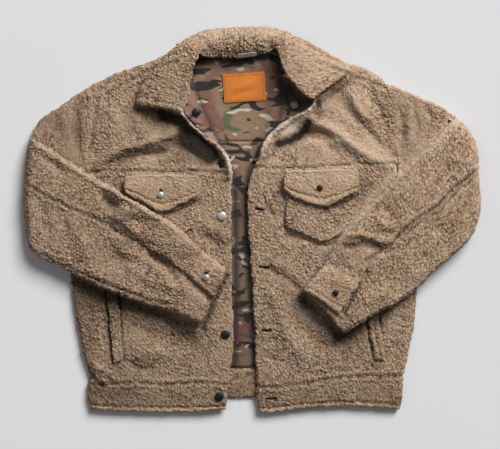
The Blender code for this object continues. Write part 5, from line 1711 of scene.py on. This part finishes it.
# ---- floor, light and camera --------------------------------------------------------------------
PICTURE_WIDTH = 500                     # of the photograph's frame, in pixels
PIXEL = 1.75                            # millimetres on the jacket for each of them
FRAME_MIDDLE = (-4, -9)
CAMERA_HEIGHT = 3.5
SHARP_HEIGHT = 0.025                    # height at which a pixel is worth PIXEL
SENSOR_WIDTH = 36.0
FLOOR_HALF = 4
FLOOR_Z = -0.0005
FLOOR_GREY = (0.72, 0.72, 0.73)
SKY_STRENGTH = 0.13
# Name, place and size in metres, power, and what it lights where that isn't everything: the
# key falls off over the jacket, and the paper has a farther light from the same side.
LIGHTS = (
    ("key", (1.25, 1.90, 1.50), 1.7, 132.0, "jacket"),
    ("paper", (7.0, 10.6, 12.6), 9.8, 3840.0, "floor"),
    ("fill", (-2.0, 0.2, 3.4), 2.4, 10.0, ""),
)


def make_floor():
    mesh = bpy.data.meshes.new("floor")
    corners = [(x * FLOOR_HALF, y * FLOOR_HALF, FLOOR_Z) for x, y in ((-1, -1), (1, -1), (1, 1), (-1, 1))]
    mesh.from_pydata(corners, [], [(0, 1, 2, 3)])
    paper = Nodes("floor_paper", roughness=0.95, specular=0.1)
    paper.put(paper.shader.inputs["Base Color"], FLOOR_GREY)
    mesh.materials.append(paper.material)
    add_object("floor", mesh)


def make_camera():
    camera = add_object("camera", bpy.data.cameras.new("camera"))
    camera.location = (FRAME_MIDDLE[0] * MM, FRAME_MIDDLE[1] * MM, CAMERA_HEIGHT)
    camera.data.sensor_width = SENSOR_WIDTH
    camera.data.lens = SENSOR_WIDTH * (CAMERA_HEIGHT - SHARP_HEIGHT) / (PICTURE_WIDTH * PIXEL * MM)
    bpy.context.scene.camera = camera
    bpy.context.scene.view_settings.view_transform = "Standard"


def make_lights():
    for name, place, size, power, lit in LIGHTS:
        light = add_object(name, bpy.data.lights.new(name, "AREA"))
        light.data.shape = "DISK"
        light.data.size = size
        light.data.energy = power
        light.location = place
        light.rotation_euler = (-Vector(place)).to_track_quat("-Z", "Y").to_euler()
        if lit:
            light.light_linking.receiver_collection = bpy.data.collections.new("lit_by_" + name)
    world = bpy.data.worlds.new("studio")
    bpy.context.scene.world = world
    world.use_nodes = True
    sky = world.node_tree.nodes["Background"]
    sky.inputs["Color"].default_value = (1.0, 1.0, 1.0, 1)
    sky.inputs["Strength"].default_value = SKY_STRENGTH


def link_lights():
    """Gives each linked light the objects that it lights."""
    for name, place, size, power, lit in LIGHTS:
        if not lit:
            continue
        receivers = bpy.data.objects[name].light_linking.receiver_collection
        for shown in bpy.context.scene.objects:
            if shown.type == "MESH" and (shown.name == "floor") == (lit == "floor"):
                receivers.objects.link(shown)


make_floor()
make_camera()
make_lights()
make_body()
make_lining()
make_pockets()
for arm_row in ARMS:
    upper_arm(arm_row)
    forearm(arm_row)
    cuff(arm_row)
make_tab_l()
make_elbows()
make_collar()
make_label()
make_hanger()
make_fastenings()
link_lights()
